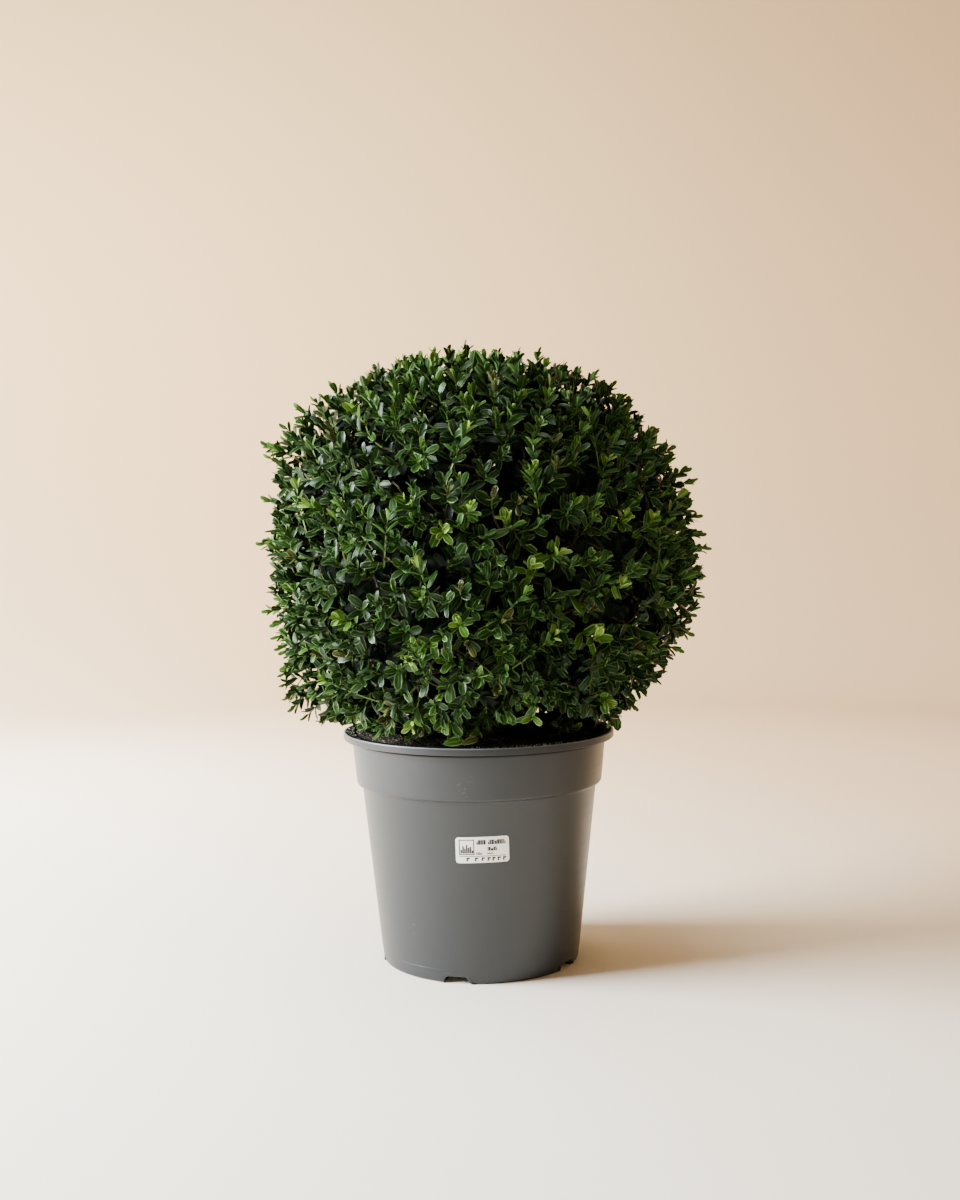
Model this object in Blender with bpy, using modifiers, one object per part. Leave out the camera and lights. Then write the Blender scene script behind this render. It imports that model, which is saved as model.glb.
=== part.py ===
# Box ball in a round nursery pot: a clipped shrub, its short stem, the compost,
# the pot and its label, each a separate solid.
# Metres, +Z up. The origin is the middle of the pot's flat underside; the front is -Y.

import math
import random

import bmesh
import bpy
from mathutils import Matrix, Vector
from mathutils.bvhtree import BVHTree

SEED = 26
GAP = 0.0003                 # left between two solids that touch

# Pot: a tapered body, a wider band above a step, and a lip turned down over the band.
POT_HEIGHT = 0.221
RIM_RADIUS = 0.130
BASE_RADIUS = 0.0944
STEP_RADIUS = 0.1124         # top of the body, just under the step
STEP_Z = 0.1674
BAND_BOTTOM_RADIUS = 0.1182
BAND_BOTTOM_Z = 0.1745
BAND_TOP_RADIUS = 0.1222
WALL = 0.0018
FLOOR = 0.0022
LIP_HEIGHT = 0.0065
LIP_THICKNESS = 0.0024       # of the web between the wall and the turned-down edge
LIP_ROUNDING = 0.0022
RIM_EDGE = 0.0014
BAND_ROUNDING = 0.004
FOOT_ROUNDING = 0.003
FLOOR_ROUNDING = 0.002
MOULD_LINE_Z = 0.0125        # where the foot part of the mould meets the wall part
POT_SEGMENTS = 64

# Drain notches: trapezoid mouths in the foot, each with a pocket raised over it.
NOTCH_COUNT = 5
FIRST_NOTCH_AZIMUTH = math.radians(-14)
NOTCH_WIDTH_LOW = 0.026
NOTCH_WIDTH_HIGH = 0.019
NOTCH_HEIGHT = 0.0066
NOTCH_DEPTH = 0.022          # how far the pocket runs in from the wall
DRAIN_HOLE_RADIUS = 0.0045

# Compost: fills the pot to a little under the rim, with a lumpy top.
SOIL_TOP = 0.2125
SOIL_LUMP = 0.0018
SOIL_LEVEL_RADIUS = 0.024    # kept level for the stem to stand on
SOIL_RINGS = 5
SOIL_SEGMENTS = 32
FACET_SAG = 0.0004           # the pot's flats lie this much inside its true circle, or less

# Stem: a short trunk between the compost and the ball.
STEM_FLARE_RADIUS = 0.0195
STEM_RADIUS = 0.0125
STEM_TIP_RADIUS = 0.0108
STEM_TIP = Vector((0.004, 0.001, 0.252))
FLARE_HEIGHT = 0.013
STEM_SIDES = 16
STEM_ROOTS = 4               # ridges in the flare

# Label: a stiff sticker with round corners on the front of the pot.
LABEL_WIDTH = 0.048
LABEL_HEIGHT = 0.024
LABEL_CORNER = 0.0028
LABEL_THICKNESS = 0.0003
LABEL_Z = 0.1269
LABEL_AZIMUTH = math.radians(1.2)
LABEL_TILT = math.radians(1.35)
LABEL_SLICES = 12

# Ball: a clipped outline, part sphere and part cube, bowed to the right at mid height.
BALL_RADIUS = 0.206
BALL_Z = 0.377
BALL_UP = 0.206
BALL_DOWN = 0.174
BALL_SQUARENESS_UP = 2.3
BALL_SQUARENESS_DOWN = 2.5
BALL_BOW = 0.0066
BALL_BOW_BACK = 0.0152
UNDERSIDE_Z = POT_HEIGHT + 0.0012
# Hollows and swellings that the shears left: azimuth, height, how proud, how wide.
LUMPS = (
    (math.radians(-90), 0.497, 0.015, 0.045),
    (math.radians(-90), 0.303, -0.012, 0.030),
    (math.radians(-80), 0.246, 0.013, 0.028),
    (math.radians(88), 0.352, 0.007, 0.040),
    (math.radians(95), 0.292, -0.008, 0.035),
    (math.radians(170), 0.330, 0.006, 0.060),
    (math.radians(150), 0.480, -0.005, 0.050),
    (math.radians(10), 0.420, 0.004, 0.060),
)

# Foliage: a solid core, twigs that stand out of it and leaves in opposite pairs.
CORE_DEPTH = 0.035           # how far the core lies under the outline
CORE_UNDERSIDE_Z = 0.236
CORE_HOLLOW = 0.026          # how far the underside rises round the stem
CORE_HOLLOW_RADIUS = 0.095
CORE_SEGMENTS = 26
CORE_RINGS = 17
CORE_ROUGHNESS = 0.0045      # how far its corners stray in and out, as clipped leaves do
TWIG_TIPS = 100
SKIRT_TWIGS = 18             # a ring of twigs whose leaves hang towards the pot's rim
SKIRT_RADIUS = 0.150
SKIRT_Z = 0.243
TWIG_END_DEPTH = 0.021       # how far under the outline the twigs end
TWIG_SUNK = 0.012
TWIG_RADIUS = 0.0022
TWIG_TIP_RADIUS = 0.0013
LEAF_LENGTH = 0.049
LEAF_WIDTH = 0.031
LEAF_BELLY = 0.55            # where a leaf is widest, in lengths from its root
LEAF_THICKNESS = 0.05        # at the ridge there, in lengths
LEAF_SHORTEST = 0.42         # of its full length; a leaf cut shorter is left out
LEAF_TRIES = 6
STRAY_LEAF_LENGTH = 0.023
STRAY_LEAF_WIDTH = 0.013
# Shoots that the shears missed: x, y and z of their tips.
STRAY_TIPS = (
    (-0.0086, -0.010, 0.5936),
    (0.0630, -0.030, 0.5850),
    (-0.2042, -0.015, 0.5009),
    (-0.2100, -0.020, 0.4024),
    (-0.2074, -0.010, 0.3359),
    (0.2255, -0.010, 0.3923),
    (0.2240, 0.020, 0.3423),
    (0.2152, -0.010, 0.4481),
    (-0.1821, -0.040, 0.2504),
    (0.1330, -0.060, 0.2290),
    (0.0400, 0.2140, 0.4100),
    (-0.0700, 0.2050, 0.3500),
)


def material(name, colour, roughness, metallic=0.0):
    made = bpy.data.materials.new(name)
    made.use_nodes = True
    shader = made.node_tree.nodes["Principled BSDF"]
    shader.inputs["Base Color"].default_value = (*colour, 1.0)
    shader.inputs["Roughness"].default_value = roughness
    shader.inputs["Metallic"].default_value = metallic
    made.diffuse_color = (*colour, 1.0)
    return made


def clear_scene():
    for obj in list(bpy.data.objects):
        bpy.data.objects.remove(obj, do_unlink=True)


def new_collection(name):
    made = bpy.data.collections.new(name)
    bpy.context.scene.collection.children.link(made)
    return made


def object_from(bm, name, collection, finish=None):
    """A mesh object made from a closed bmesh, which is freed, with its faces turned out."""
    bmesh.ops.recalc_face_normals(bm, faces=bm.faces)
    if bm.calc_volume(signed=True) < 0:
        bmesh.ops.reverse_faces(bm, faces=bm.faces)
    mesh = bpy.data.meshes.new(name)
    bm.to_mesh(mesh)
    bm.free()
    if finish:
        mesh.materials.append(finish)
    made = bpy.data.objects.new(name, mesh)
    collection.objects.link(made)
    return made


def boolean(obj, operation, operand, solver="EXACT"):
    """Adds a Boolean with an object, or with each object of a collection."""
    modifier = obj.modifiers.new(operation.lower(), "BOOLEAN")
    modifier.operation = operation
    modifier.solver = solver
    if isinstance(operand, bpy.types.Collection):
        modifier.operand_type = "COLLECTION"
        modifier.collection = operand
    else:
        modifier.object = operand
    return modifier


def apply_modifiers(obj):
    """Replaces the object's mesh by the evaluated one and drops its modifiers."""
    graph = bpy.context.evaluated_depsgraph_get()
    graph.update()
    mesh = bpy.data.meshes.new_from_object(obj.evaluated_get(graph))
    obj.modifiers.clear()
    old = obj.data
    obj.data = mesh
    mesh.name = obj.name
    bpy.data.meshes.remove(old)


def remove_collection(collection):
    for obj in list(collection.objects):
        bpy.data.objects.remove(obj, do_unlink=True)
    bpy.data.collections.remove(collection)


def turned(name, profile, segments, collection, finish=None):
    """A solid turned from (radius, height) points that run down its outer side."""
    mesh = bpy.data.meshes.new(name)
    points = [(radius, 0.0, height) for radius, height in profile]
    edges = [(i, i + 1) for i in range(len(points) - 1)]
    mesh.from_pydata(points, edges, [])
    if finish:
        mesh.materials.append(finish)
    made = bpy.data.objects.new(name, mesh)
    collection.objects.link(made)
    screw = made.modifiers.new("screw", "SCREW")
    screw.steps = segments
    screw.render_steps = segments
    screw.use_merge_vertices = True
    screw.merge_threshold = 0.00001
    return made


def corner(centre, radius, start, end, steps):
    """(radius, height) points of a round corner; angles in degrees from outwards."""
    points = []
    for step in range(steps + 1):
        angle = math.radians(start + (end - start) * step / steps)
        points.append((centre[0] + radius * math.cos(angle), centre[1] + radius * math.sin(angle)))
    return points


def body_radius(z):
    """Outer radius of the pot's tapered body."""
    return BASE_RADIUS + (STEP_RADIUS - BASE_RADIUS) * z / STEP_Z


def bearing(azimuth, radius, z):
    """A point at this azimuth, measured from the front towards +X."""
    return Vector((radius * math.sin(azimuth), -radius * math.cos(azimuth), z))


def notch_azimuths():
    return [FIRST_NOTCH_AZIMUTH + math.tau * index / NOTCH_COUNT for index in range(NOTCH_COUNT)]


# ---------------------------------------------------------------- pot


def inner_radius(z):
    """Radius of the inside of the pot's wall."""
    wall = ((0.0, BASE_RADIUS), (STEP_Z, STEP_RADIUS), (BAND_BOTTOM_Z, BAND_BOTTOM_RADIUS),
            (POT_HEIGHT, BAND_TOP_RADIUS))
    for (low, low_radius), (high, high_radius) in zip(wall, wall[1:]):
        if z <= high:
            return low_radius + (high_radius - low_radius) * (z - low) / (high - low) - WALL
    return BAND_TOP_RADIUS - WALL


def pot_profile():
    """The wall's whole section: outer side down, underside to the axis, inner side up."""
    lip_top = corner((RIM_RADIUS - LIP_ROUNDING, POT_HEIGHT - LIP_ROUNDING), LIP_ROUNDING, 90, 0, 3)
    lip = [
        (RIM_RADIUS, POT_HEIGHT - LIP_HEIGHT),
        (RIM_RADIUS - WALL, POT_HEIGHT - LIP_HEIGHT),
        (RIM_RADIUS - WALL, POT_HEIGHT - LIP_THICKNESS),
        (BAND_TOP_RADIUS, POT_HEIGHT - LIP_THICKNESS),
    ]
    band_middle = (BAND_BOTTOM_RADIUS - BAND_ROUNDING, BAND_BOTTOM_Z)
    band = corner(band_middle, BAND_ROUNDING, 0, -90, 3)
    body = [(STEP_RADIUS, STEP_Z), (body_radius(MOULD_LINE_Z), MOULD_LINE_Z)]
    foot = corner((BASE_RADIUS - FOOT_ROUNDING, FOOT_ROUNDING), FOOT_ROUNDING, 0, -90, 3)
    floor = [(0.0, 0.0), (0.0, FLOOR), (inner_radius(0) - FLOOR_ROUNDING, FLOOR)]
    inside = [(inner_radius(z), z) for z in (FLOOR + FLOOR_ROUNDING, MOULD_LINE_Z, STEP_Z, BAND_BOTTOM_Z)]
    rim_edge = [
        (inner_radius(POT_HEIGHT), POT_HEIGHT - RIM_EDGE),
        (inner_radius(POT_HEIGHT) + RIM_EDGE, POT_HEIGHT),
    ]
    return lip_top + lip + band + body + foot + floor + inside + rim_edge + lip_top[:1]


def trapezoid_block(name, low_width, high_width, bottom, top, inner, outer, azimuth, collection):
    """A block along a radius, with a trapezoid section, for a notch or its pocket."""
    bm = bmesh.new()
    bmesh.ops.create_cube(bm, size=1.0)
    for vert in bm.verts:
        high = vert.co.z > 0
        half = (high_width if high else low_width) / 2
        vert.co = Vector((
            math.copysign(half, vert.co.x),
            -(outer if vert.co.y < 0 else inner),
            top if high else bottom,
        ))
    bmesh.ops.rotate(bm, verts=bm.verts, cent=(0, 0, 0), matrix=Matrix.Rotation(azimuth, 3, "Z"))
    return object_from(bm, name, collection)


def drain_hole(name, azimuth, collection):
    bm = bmesh.new()
    bmesh.ops.create_cone(
        bm, cap_ends=True, segments=12,
        radius1=DRAIN_HOLE_RADIUS, radius2=DRAIN_HOLE_RADIUS, depth=0.02,
    )
    centre = bearing(azimuth, BASE_RADIUS - NOTCH_DEPTH / 2 - 0.002, NOTCH_HEIGHT)
    bmesh.ops.translate(bm, verts=bm.verts, vec=centre)
    return object_from(bm, name, collection)


def make_pot(parts, cutters):
    grey = material("pot_plastic", (0.165, 0.170, 0.175), 0.42)
    pot = turned("pot", pot_profile(), POT_SEGMENTS, parts, grey)
    pockets = new_collection("pockets")
    for index, azimuth in enumerate(notch_azimuths()):
        pocket_outer = body_radius(NOTCH_HEIGHT) - WALL / 2
        trapezoid_block(
            f"pocket_{index + 1}", NOTCH_WIDTH_LOW + 2 * WALL, NOTCH_WIDTH_HIGH + 2 * WALL,
            FLOOR / 2, NOTCH_HEIGHT + WALL, BASE_RADIUS - NOTCH_DEPTH - WALL, pocket_outer,
            azimuth, pockets,
        )
        trapezoid_block(
            f"notch_{index + 1}", NOTCH_WIDTH_LOW, NOTCH_WIDTH_HIGH,
            -0.0004, NOTCH_HEIGHT, BASE_RADIUS - NOTCH_DEPTH, RIM_RADIUS, azimuth, cutters,
        )
        drain_hole(f"drain_hole_{index + 1}", azimuth, cutters)
    boolean(pot, "UNION", pockets)
    apply_modifiers(pot)
    remove_collection(pockets)
    boolean(pot, "DIFFERENCE", cutters)
    pot.data.shade_smooth()
    pot.data.set_sharp_from_angle(angle=math.radians(30))
    return pot


# ---------------------------------------------------------------- compost


def soil_profile():
    """Level under the stem, then rings for the lumps, then down the wall and under."""
    clear = GAP + FACET_SAG
    top = [(0.0, SOIL_TOP), (SOIL_LEVEL_RADIUS, SOIL_TOP)]
    edge = inner_radius(SOIL_TOP) - clear - SOIL_LUMP
    for ring in range(1, SOIL_RINGS + 1):
        share = ring / SOIL_RINGS
        top.append((SOIL_LEVEL_RADIUS + (edge - SOIL_LEVEL_RADIUS) * share, SOIL_TOP))
    foot = FLOOR + 2 * FLOOR_ROUNDING
    heights = (SOIL_TOP - 2 * SOIL_LUMP, BAND_BOTTOM_Z, STEP_Z, MOULD_LINE_Z, foot)
    side = [(inner_radius(z) - clear, z) for z in heights]
    under = [(inner_radius(0) - 2 * FLOOR_ROUNDING, FLOOR + GAP), (0.0, FLOOR + GAP)]
    return top + side + under


def make_soil(parts):
    """A plug of compost, cut round the pockets, with a lumpy top."""
    brown = material("compost", (0.030, 0.020, 0.013), 0.95)
    soil = turned("soil", soil_profile(), SOIL_SEGMENTS, parts, brown)
    apply_modifiers(soil)
    draw = random.Random(SEED)
    for vert in soil.data.vertices:
        if vert.co.z > SOIL_TOP - GAP and math.hypot(vert.co.x, vert.co.y) > SOIL_LEVEL_RADIUS + GAP:
            vert.co.z += draw.uniform(-SOIL_LUMP, SOIL_LUMP)
    hollows = new_collection("hollows")
    grown = 2 * (WALL + GAP)
    for index, azimuth in enumerate(notch_azimuths()):
        trapezoid_block(
            f"hollow_{index + 1}", NOTCH_WIDTH_LOW + grown, NOTCH_WIDTH_HIGH + grown,
            FLOOR / 2, NOTCH_HEIGHT + WALL + GAP, BASE_RADIUS - NOTCH_DEPTH - WALL - GAP,
            RIM_RADIUS, azimuth, hollows,
        )
    boolean(soil, "DIFFERENCE", hollows)
    apply_modifiers(soil)
    remove_collection(hollows)
    return soil


# ---------------------------------------------------------------- stem


def ring_at(bm, centre, radius, sides, direction=Vector((0, 0, 1)), turn=0.0):
    """A ring of verts round a point, square to a direction."""
    across = direction.orthogonal().normalized()
    over = direction.cross(across).normalized()
    verts = []
    for index in range(sides):
        angle = turn + math.tau * index / sides
        verts.append(bm.verts.new(centre + radius * (math.cos(angle) * across + math.sin(angle) * over)))
    return verts


def loft(bm, rings):
    """Skins a run of equal rings and caps both ends."""
    for low, high in zip(rings, rings[1:]):
        for index in range(len(low)):
            following = (index + 1) % len(low)
            bm.faces.new((low[index], low[following], high[following], high[index]))
    bm.faces.new(rings[0][::-1])
    bm.faces.new(rings[-1])


def make_stem(parts):
    """A leaning trunk whose foot flares where the roots leave it."""
    bark = material("bark", (0.115, 0.085, 0.055), 0.85)
    bm = bmesh.new()
    foot = SOIL_TOP + GAP
    rings = []
    for share in (0.0, 0.08, 0.18, 0.34, 0.60, 0.82, 1.0):
        height = (STEM_TIP.z - foot) * share
        centre = Vector((STEM_TIP.x * share, STEM_TIP.y * share, foot + height))
        ring = ring_at(bm, centre, STEM_RADIUS + (STEM_TIP_RADIUS - STEM_RADIUS) * share, STEM_SIDES)
        swell = max(0.0, 1 - height / FLARE_HEIGHT) ** 2 * (STEM_FLARE_RADIUS - STEM_RADIUS)
        for index, vert in enumerate(ring):
            root = 0.6 + 0.4 * math.cos(STEM_ROOTS * math.tau * index / STEM_SIDES)
            vert.co += (vert.co - centre).normalized() * swell * root
        rings.append(ring)
    loft(bm, rings)
    stem = object_from(bm, "stem", parts, bark)
    stem.data.shade_smooth()
    stem.data.set_sharp_from_angle(angle=math.radians(50))
    return stem


# ---------------------------------------------------------------- ball outline


def bow(z):
    share = (z - BALL_Z) / (BALL_UP if z > BALL_Z else BALL_DOWN)
    return BALL_BOW - BALL_BOW_BACK * share * share


def lump(azimuth, z):
    total = 0.0
    for lump_azimuth, lump_z, proud, spread in LUMPS:
        turn = (azimuth - lump_azimuth + math.pi) % math.tau - math.pi
        distance = math.hypot(turn * BALL_RADIUS * 0.8, z - lump_z)
        total += proud * math.exp(-((distance / spread) ** 2))
    return total


def fullness(point, depth=0.0):
    """Below 1 inside the outline, or inside one that lies this much deeper."""
    x = point.x - bow(point.z)
    radius = BALL_RADIUS + lump(math.atan2(x, -point.y), point.z) - depth
    above = point.z > BALL_Z
    power = BALL_SQUARENESS_UP if above else BALL_SQUARENESS_DOWN
    height = (BALL_UP if above else BALL_DOWN) - depth
    return (math.hypot(x, point.y) / radius) ** power + (abs(point.z - BALL_Z) / height) ** power


def outline_point(direction, depth=0.0):
    """Where a ray from the ball's middle meets the outline."""
    middle = Vector((0, 0, BALL_Z))
    near, far = 0.0, 2 * BALL_RADIUS
    for _ in range(24):
        half = (near + far) / 2
        if fullness(middle + half * direction, depth) < 1:
            near = half
        else:
            far = half
    return middle + near * direction


def sphere_direction(index, count):
    """One of a number of directions spread evenly over a sphere."""
    height = 1 - 2 * (index + 0.5) / count
    turn = index * math.pi * (3 - math.sqrt(5))
    across = math.sqrt(1 - height * height)
    return Vector((across * math.cos(turn), across * math.sin(turn), height))


# ---------------------------------------------------------------- foliage


def in_space(point):
    """True where foliage may be: clear of the pot, the compost and the stem."""
    distance = math.hypot(point.x, point.y)
    if distance > RIM_RADIUS + 0.004:
        return point.z > POT_HEIGHT - LIP_HEIGHT
    return point.z > UNDERSIDE_Z and distance > STEM_RADIUS + 0.004


def leaf_mesh(root, direction, face, length, width):
    """A leaf as verts and triangles: two blades that fall away from a ridge, flat below."""
    side = direction.cross(face).normalized()
    up = side.cross(direction).normalized()
    belly = root + LEAF_BELLY * length * direction - LEAF_THICKNESS * length * up
    verts = [
        root,
        root + length * direction,
        belly + width / 2 * side,
        belly - width / 2 * side,
    ]
    return verts, [(0, 2, 1), (0, 1, 3), (0, 3, 2), (1, 2, 3)]


def blade(shape):
    """The middle and a search tree of a leaf without its root end, which is sunk in its twig."""
    verts, faces = shape
    root, tip = verts[0], verts[1]
    return (root + tip) / 2, BVHTree.FromPolygons([root.lerp(tip, 0.22)] + verts[1:], faces)


def crosses(leaf, grown):
    """True where a leaf cuts through one that has grown already."""
    middle, tree = leaf
    for other_middle, other_tree in grown:
        if (middle - other_middle).length < LEAF_LENGTH and tree.overlap(other_tree):
            return True
    return False


def add_leaf(pieces, shape):
    bm = bmesh.new()
    verts = [bm.verts.new(vert) for vert in shape[0]]
    for face in shape[1]:
        bm.faces.new([verts[index] for index in face])
    return object_from(bm, "leaf", pieces)


def add_twig(pieces, start, end):
    """A straight three-sided twig that tapers to its end."""
    bm = bmesh.new()
    direction = (end - start).normalized()
    low = ring_at(bm, start, TWIG_RADIUS, 3, direction)
    high = ring_at(bm, end, TWIG_TIP_RADIUS, 3, direction)
    loft(bm, [low, high])
    return object_from(bm, "twig", pieces)


def pair_ways(direction, draw):
    """Where the leaves of one twig leave it and which way they point: two crossed pairs, one end leaf."""
    across = direction.orthogonal().normalized()
    across.rotate(Matrix.Rotation(draw.uniform(0, math.tau), 3, direction))
    over = direction.cross(across)
    ways = []
    for back, spread, side in ((0.011, 66, across), (0.004, 52, over)):
        for sign in (1, -1):
            angle = math.radians(spread + draw.uniform(-7, 7))
            way = math.cos(angle) * direction + math.sin(angle) * sign * side
            ways.append((back, way.normalized(), draw.uniform(0.9, 1.12)))
    angle = math.radians(draw.uniform(6, 16))
    way = math.cos(angle) * direction + math.sin(angle) * across
    ways.append((0.0012, way.normalized(), draw.uniform(0.75, 0.9)))
    return ways


def underside(point):
    """Height of the core's underside, which is hollowed towards the stem."""
    share = min(1.0, math.hypot(point.x, point.y) / CORE_HOLLOW_RADIUS)
    return CORE_UNDERSIDE_Z + CORE_HOLLOW * (1 + math.cos(math.pi * share)) / 2


def make_core(finish, collection, draw):
    """The dense middle of the ball, with a hollow underneath for the stem."""
    bm = bmesh.new()
    bmesh.ops.create_uvsphere(bm, u_segments=CORE_SEGMENTS, v_segments=CORE_RINGS, radius=1.0)
    for vert in bm.verts:
        depth = CORE_DEPTH + draw.uniform(-CORE_ROUGHNESS, CORE_ROUGHNESS)
        vert.co = outline_point(vert.co.normalized(), depth)
        vert.co.z = max(vert.co.z, underside(vert.co))
    bmesh.ops.triangulate(bm, faces=bm.faces)
    return object_from(bm, "foliage_ball", collection, finish)


def fork_pairs(tips):
    """Pairs each tip with its nearest free neighbour, so that two tips share a twig."""
    free = list(range(len(tips)))
    pairs = []
    while len(free) > 1:
        first = free.pop(0)
        mate = min(free, key=lambda other: (tips[other] - tips[first]).length)
        free.remove(mate)
        pairs.append((first, mate))
    return pairs + [(index,) for index in free]


def even_tips(draw):
    """Ends and directions of twigs spread evenly under the outline."""
    tips = []
    for index in range(TWIG_TIPS):
        direction = sphere_direction(index, TWIG_TIPS)
        direction += Vector([draw.uniform(-0.06, 0.06) for _ in range(3)])
        direction.normalize()
        tip = outline_point(direction) - TWIG_END_DEPTH * direction
        if in_space(tip) and tip.z > SKIRT_Z:
            tips.append((tip, direction))
    return tips


def skirt_tips(draw):
    """Ends and directions of the ring of twigs round the ball's lower edge."""
    tips = []
    for index in range(SKIRT_TWIGS):
        azimuth = math.tau * (index + draw.uniform(-0.2, 0.2)) / SKIRT_TWIGS
        tip = bearing(azimuth, SKIRT_RADIUS, SKIRT_Z + draw.uniform(-0.004, 0.004))
        tip.x += bow(tip.z)
        tips.append((tip, (tip - Vector((0, 0, BALL_Z))).normalized()))
    return tips


def grow_twigs(pieces, draw):
    """Pairs of twigs that fork inside the core, with the leaves at their ends."""
    tips, ways = zip(*(even_tips(draw) + skirt_tips(draw)))
    grown = []
    for pair in fork_pairs(tips):
        middle = sum((ways[index] for index in pair), Vector()).normalized()
        start = outline_point(middle, CORE_DEPTH + TWIG_SUNK)
        start.z = max(start.z, underside(start) + TWIG_SUNK)
        for index in pair:
            add_twig(pieces, start, tips[index])
            grow_leaves(pieces, tips[index], (tips[index] - start).normalized(), draw, grown)


def grow_leaves(pieces, tip, direction, draw, grown):
    """The leaves at the end of one twig; one that finds no room after some tries is left out."""
    for back, way, size in pair_ways(direction, draw):
        root = tip - back * direction
        for _ in range(LEAF_TRIES):
            length = LEAF_LENGTH * size
            while length > LEAF_SHORTEST * LEAF_LENGTH and fullness(root + length * way) > 1:
                length *= 0.94
            face = direction - direction.dot(way) * way
            if face.length < 0.1:
                face = way.orthogonal()
            shape = leaf_mesh(root, way, face, length, LEAF_WIDTH * length / LEAF_LENGTH)
            fits = fullness(shape[0][1]) <= 1 and all(in_space(vert) for vert in shape[0][1:])
            leaf = blade(shape)
            if fits and not crosses(leaf, grown):
                add_leaf(pieces, shape)
                grown.append(leaf)
                break
            way = (way + Vector([draw.uniform(-0.35, 0.35) for _ in range(3)])).normalized()


def grow_strays(pieces, draw):
    """Single shoots that reach past the outline, each ended by a small pair and a leaf."""
    for spot in STRAY_TIPS:
        tip = Vector(spot)
        outward = (tip - Vector((0, 0, BALL_Z))).normalized()
        start = outline_point(outward, CORE_DEPTH + TWIG_SUNK)
        start.z = max(start.z, underside(start) + TWIG_SUNK)
        way = (tip - start).normalized()
        bud = tip - STRAY_LEAF_LENGTH * way
        add_twig(pieces, start, bud)
        across = way.orthogonal().normalized()
        across.rotate(Matrix.Rotation(draw.uniform(0, math.tau), 3, way))
        root = bud - TWIG_TIP_RADIUS * way
        add_leaf(pieces, leaf_mesh(root, way, across, (tip - root).length, STRAY_LEAF_WIDTH))
        for sign in (1, -1):
            leaf_way = (way + 0.85 * sign * across).normalized()
            face = way - way.dot(leaf_way) * leaf_way
            root = bud - 4 * TWIG_TIP_RADIUS * way
            shape = leaf_mesh(root, leaf_way, face, STRAY_LEAF_LENGTH, STRAY_LEAF_WIDTH)
            if in_space(shape[0][1]):
                add_leaf(pieces, shape)


def keep_one_body(obj):
    """Keeps the outer shell: sealed hollows are filled and loose scraps dropped."""
    bm = bmesh.new()
    bm.from_mesh(obj.data)
    bmesh.ops.triangulate(bm, faces=bm.faces)
    shells = []
    unseen = set(bm.verts)
    while unseen:
        shell = set()
        waiting = [next(iter(unseen))]
        while waiting:
            vert = waiting.pop()
            if vert not in shell:
                shell.add(vert)
                waiting += [edge.other_vert(vert) for edge in vert.link_edges]
        unseen -= shell
        shells.append(shell)
    shells.sort(key=len)
    for shell in shells[:-1]:
        bmesh.ops.delete(bm, geom=list(shell), context="VERTS")
    bm.to_mesh(obj.data)
    bm.free()


def make_foliage(parts):
    """The whole clipped mass: core, own stem, twigs and leaves, fused into one solid."""
    green = material("box_leaf", (0.035, 0.085, 0.022), 0.38)
    draw = random.Random(SEED)
    ball = make_core(green, parts, draw)
    pieces = new_collection("ball_pieces")
    bm = bmesh.new()
    foot = STEM_TIP + Vector((0, 0, GAP))
    head = Vector((STEM_TIP.x, STEM_TIP.y, CORE_UNDERSIDE_Z + CORE_HOLLOW + TWIG_SUNK))
    low = ring_at(bm, foot, STEM_TIP_RADIUS, STEM_SIDES)
    high = ring_at(bm, head, 0.8 * STEM_TIP_RADIUS, STEM_SIDES)
    loft(bm, [low, high])
    object_from(bm, "ball_stem", pieces)
    grow_twigs(pieces, draw)
    grow_strays(pieces, draw)
    boolean(ball, "UNION", pieces, "MANIFOLD")
    apply_modifiers(ball)
    remove_collection(pieces)
    keep_one_body(ball)
    return ball


# ---------------------------------------------------------------- label


def make_label(parts):
    """A rounded oblong plate, sliced upright so that it can bend, laid on the wall."""
    white = material("label_film", (0.80, 0.80, 0.79), 0.45)
    bm = bmesh.new()
    outline = []
    half_width = LABEL_WIDTH / 2 - LABEL_CORNER
    half_height = LABEL_HEIGHT / 2 - LABEL_CORNER
    for sign_x, sign_y, start in ((1, 1, 0), (-1, 1, 90), (-1, -1, 180), (1, -1, 270)):
        centre = (sign_x * half_width, sign_y * half_height)
        outline += corner(centre, LABEL_CORNER, start, start + 90, 3)
    face = bm.faces.new([bm.verts.new((x, y, 0.0)) for x, y in outline])
    for index in range(1, LABEL_SLICES):
        cut = (index / LABEL_SLICES - 0.5) * LABEL_WIDTH
        geometry = bm.verts[:] + bm.edges[:] + bm.faces[:]
        bmesh.ops.bisect_plane(bm, geom=geometry, plane_co=(cut, 0, 0), plane_no=(1, 0, 0))
    made = bmesh.ops.extrude_face_region(bm, geom=bm.faces[:])
    raised = [item for item in made["geom"] if isinstance(item, bmesh.types.BMVert)]
    bmesh.ops.translate(bm, verts=raised, vec=(0, 0, LABEL_THICKNESS))
    bmesh.ops.rotate(bm, verts=bm.verts, cent=(0, 0, 0), matrix=Matrix.Rotation(LABEL_TILT, 3, "Z"))
    slope = math.atan2(STEP_RADIUS - BASE_RADIUS, STEP_Z)
    for vert in bm.verts:
        z = LABEL_Z + vert.co.y * math.cos(slope)
        wall = body_radius(z)
        out = GAP + vert.co.z
        vert.co = bearing(LABEL_AZIMUTH + vert.co.x / wall, wall + out * math.cos(slope),
                          z - out * math.sin(slope))
    return object_from(bm, "label", parts, white)


def main():
    clear_scene()
    parts = new_collection("box_ball")
    cutters = new_collection("cutters")
    make_pot(parts, cutters)
    make_soil(parts)
    make_stem(parts)
    make_foliage(parts)
    make_label(parts)
    for cutter in cutters.objects:
        cutter.hide_render = True
        cutter.display_type = "WIRE"


main()
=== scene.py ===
import math
import random

import bmesh
import bpy
import numpy as np
from mathutils import Matrix, Vector, noise


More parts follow.
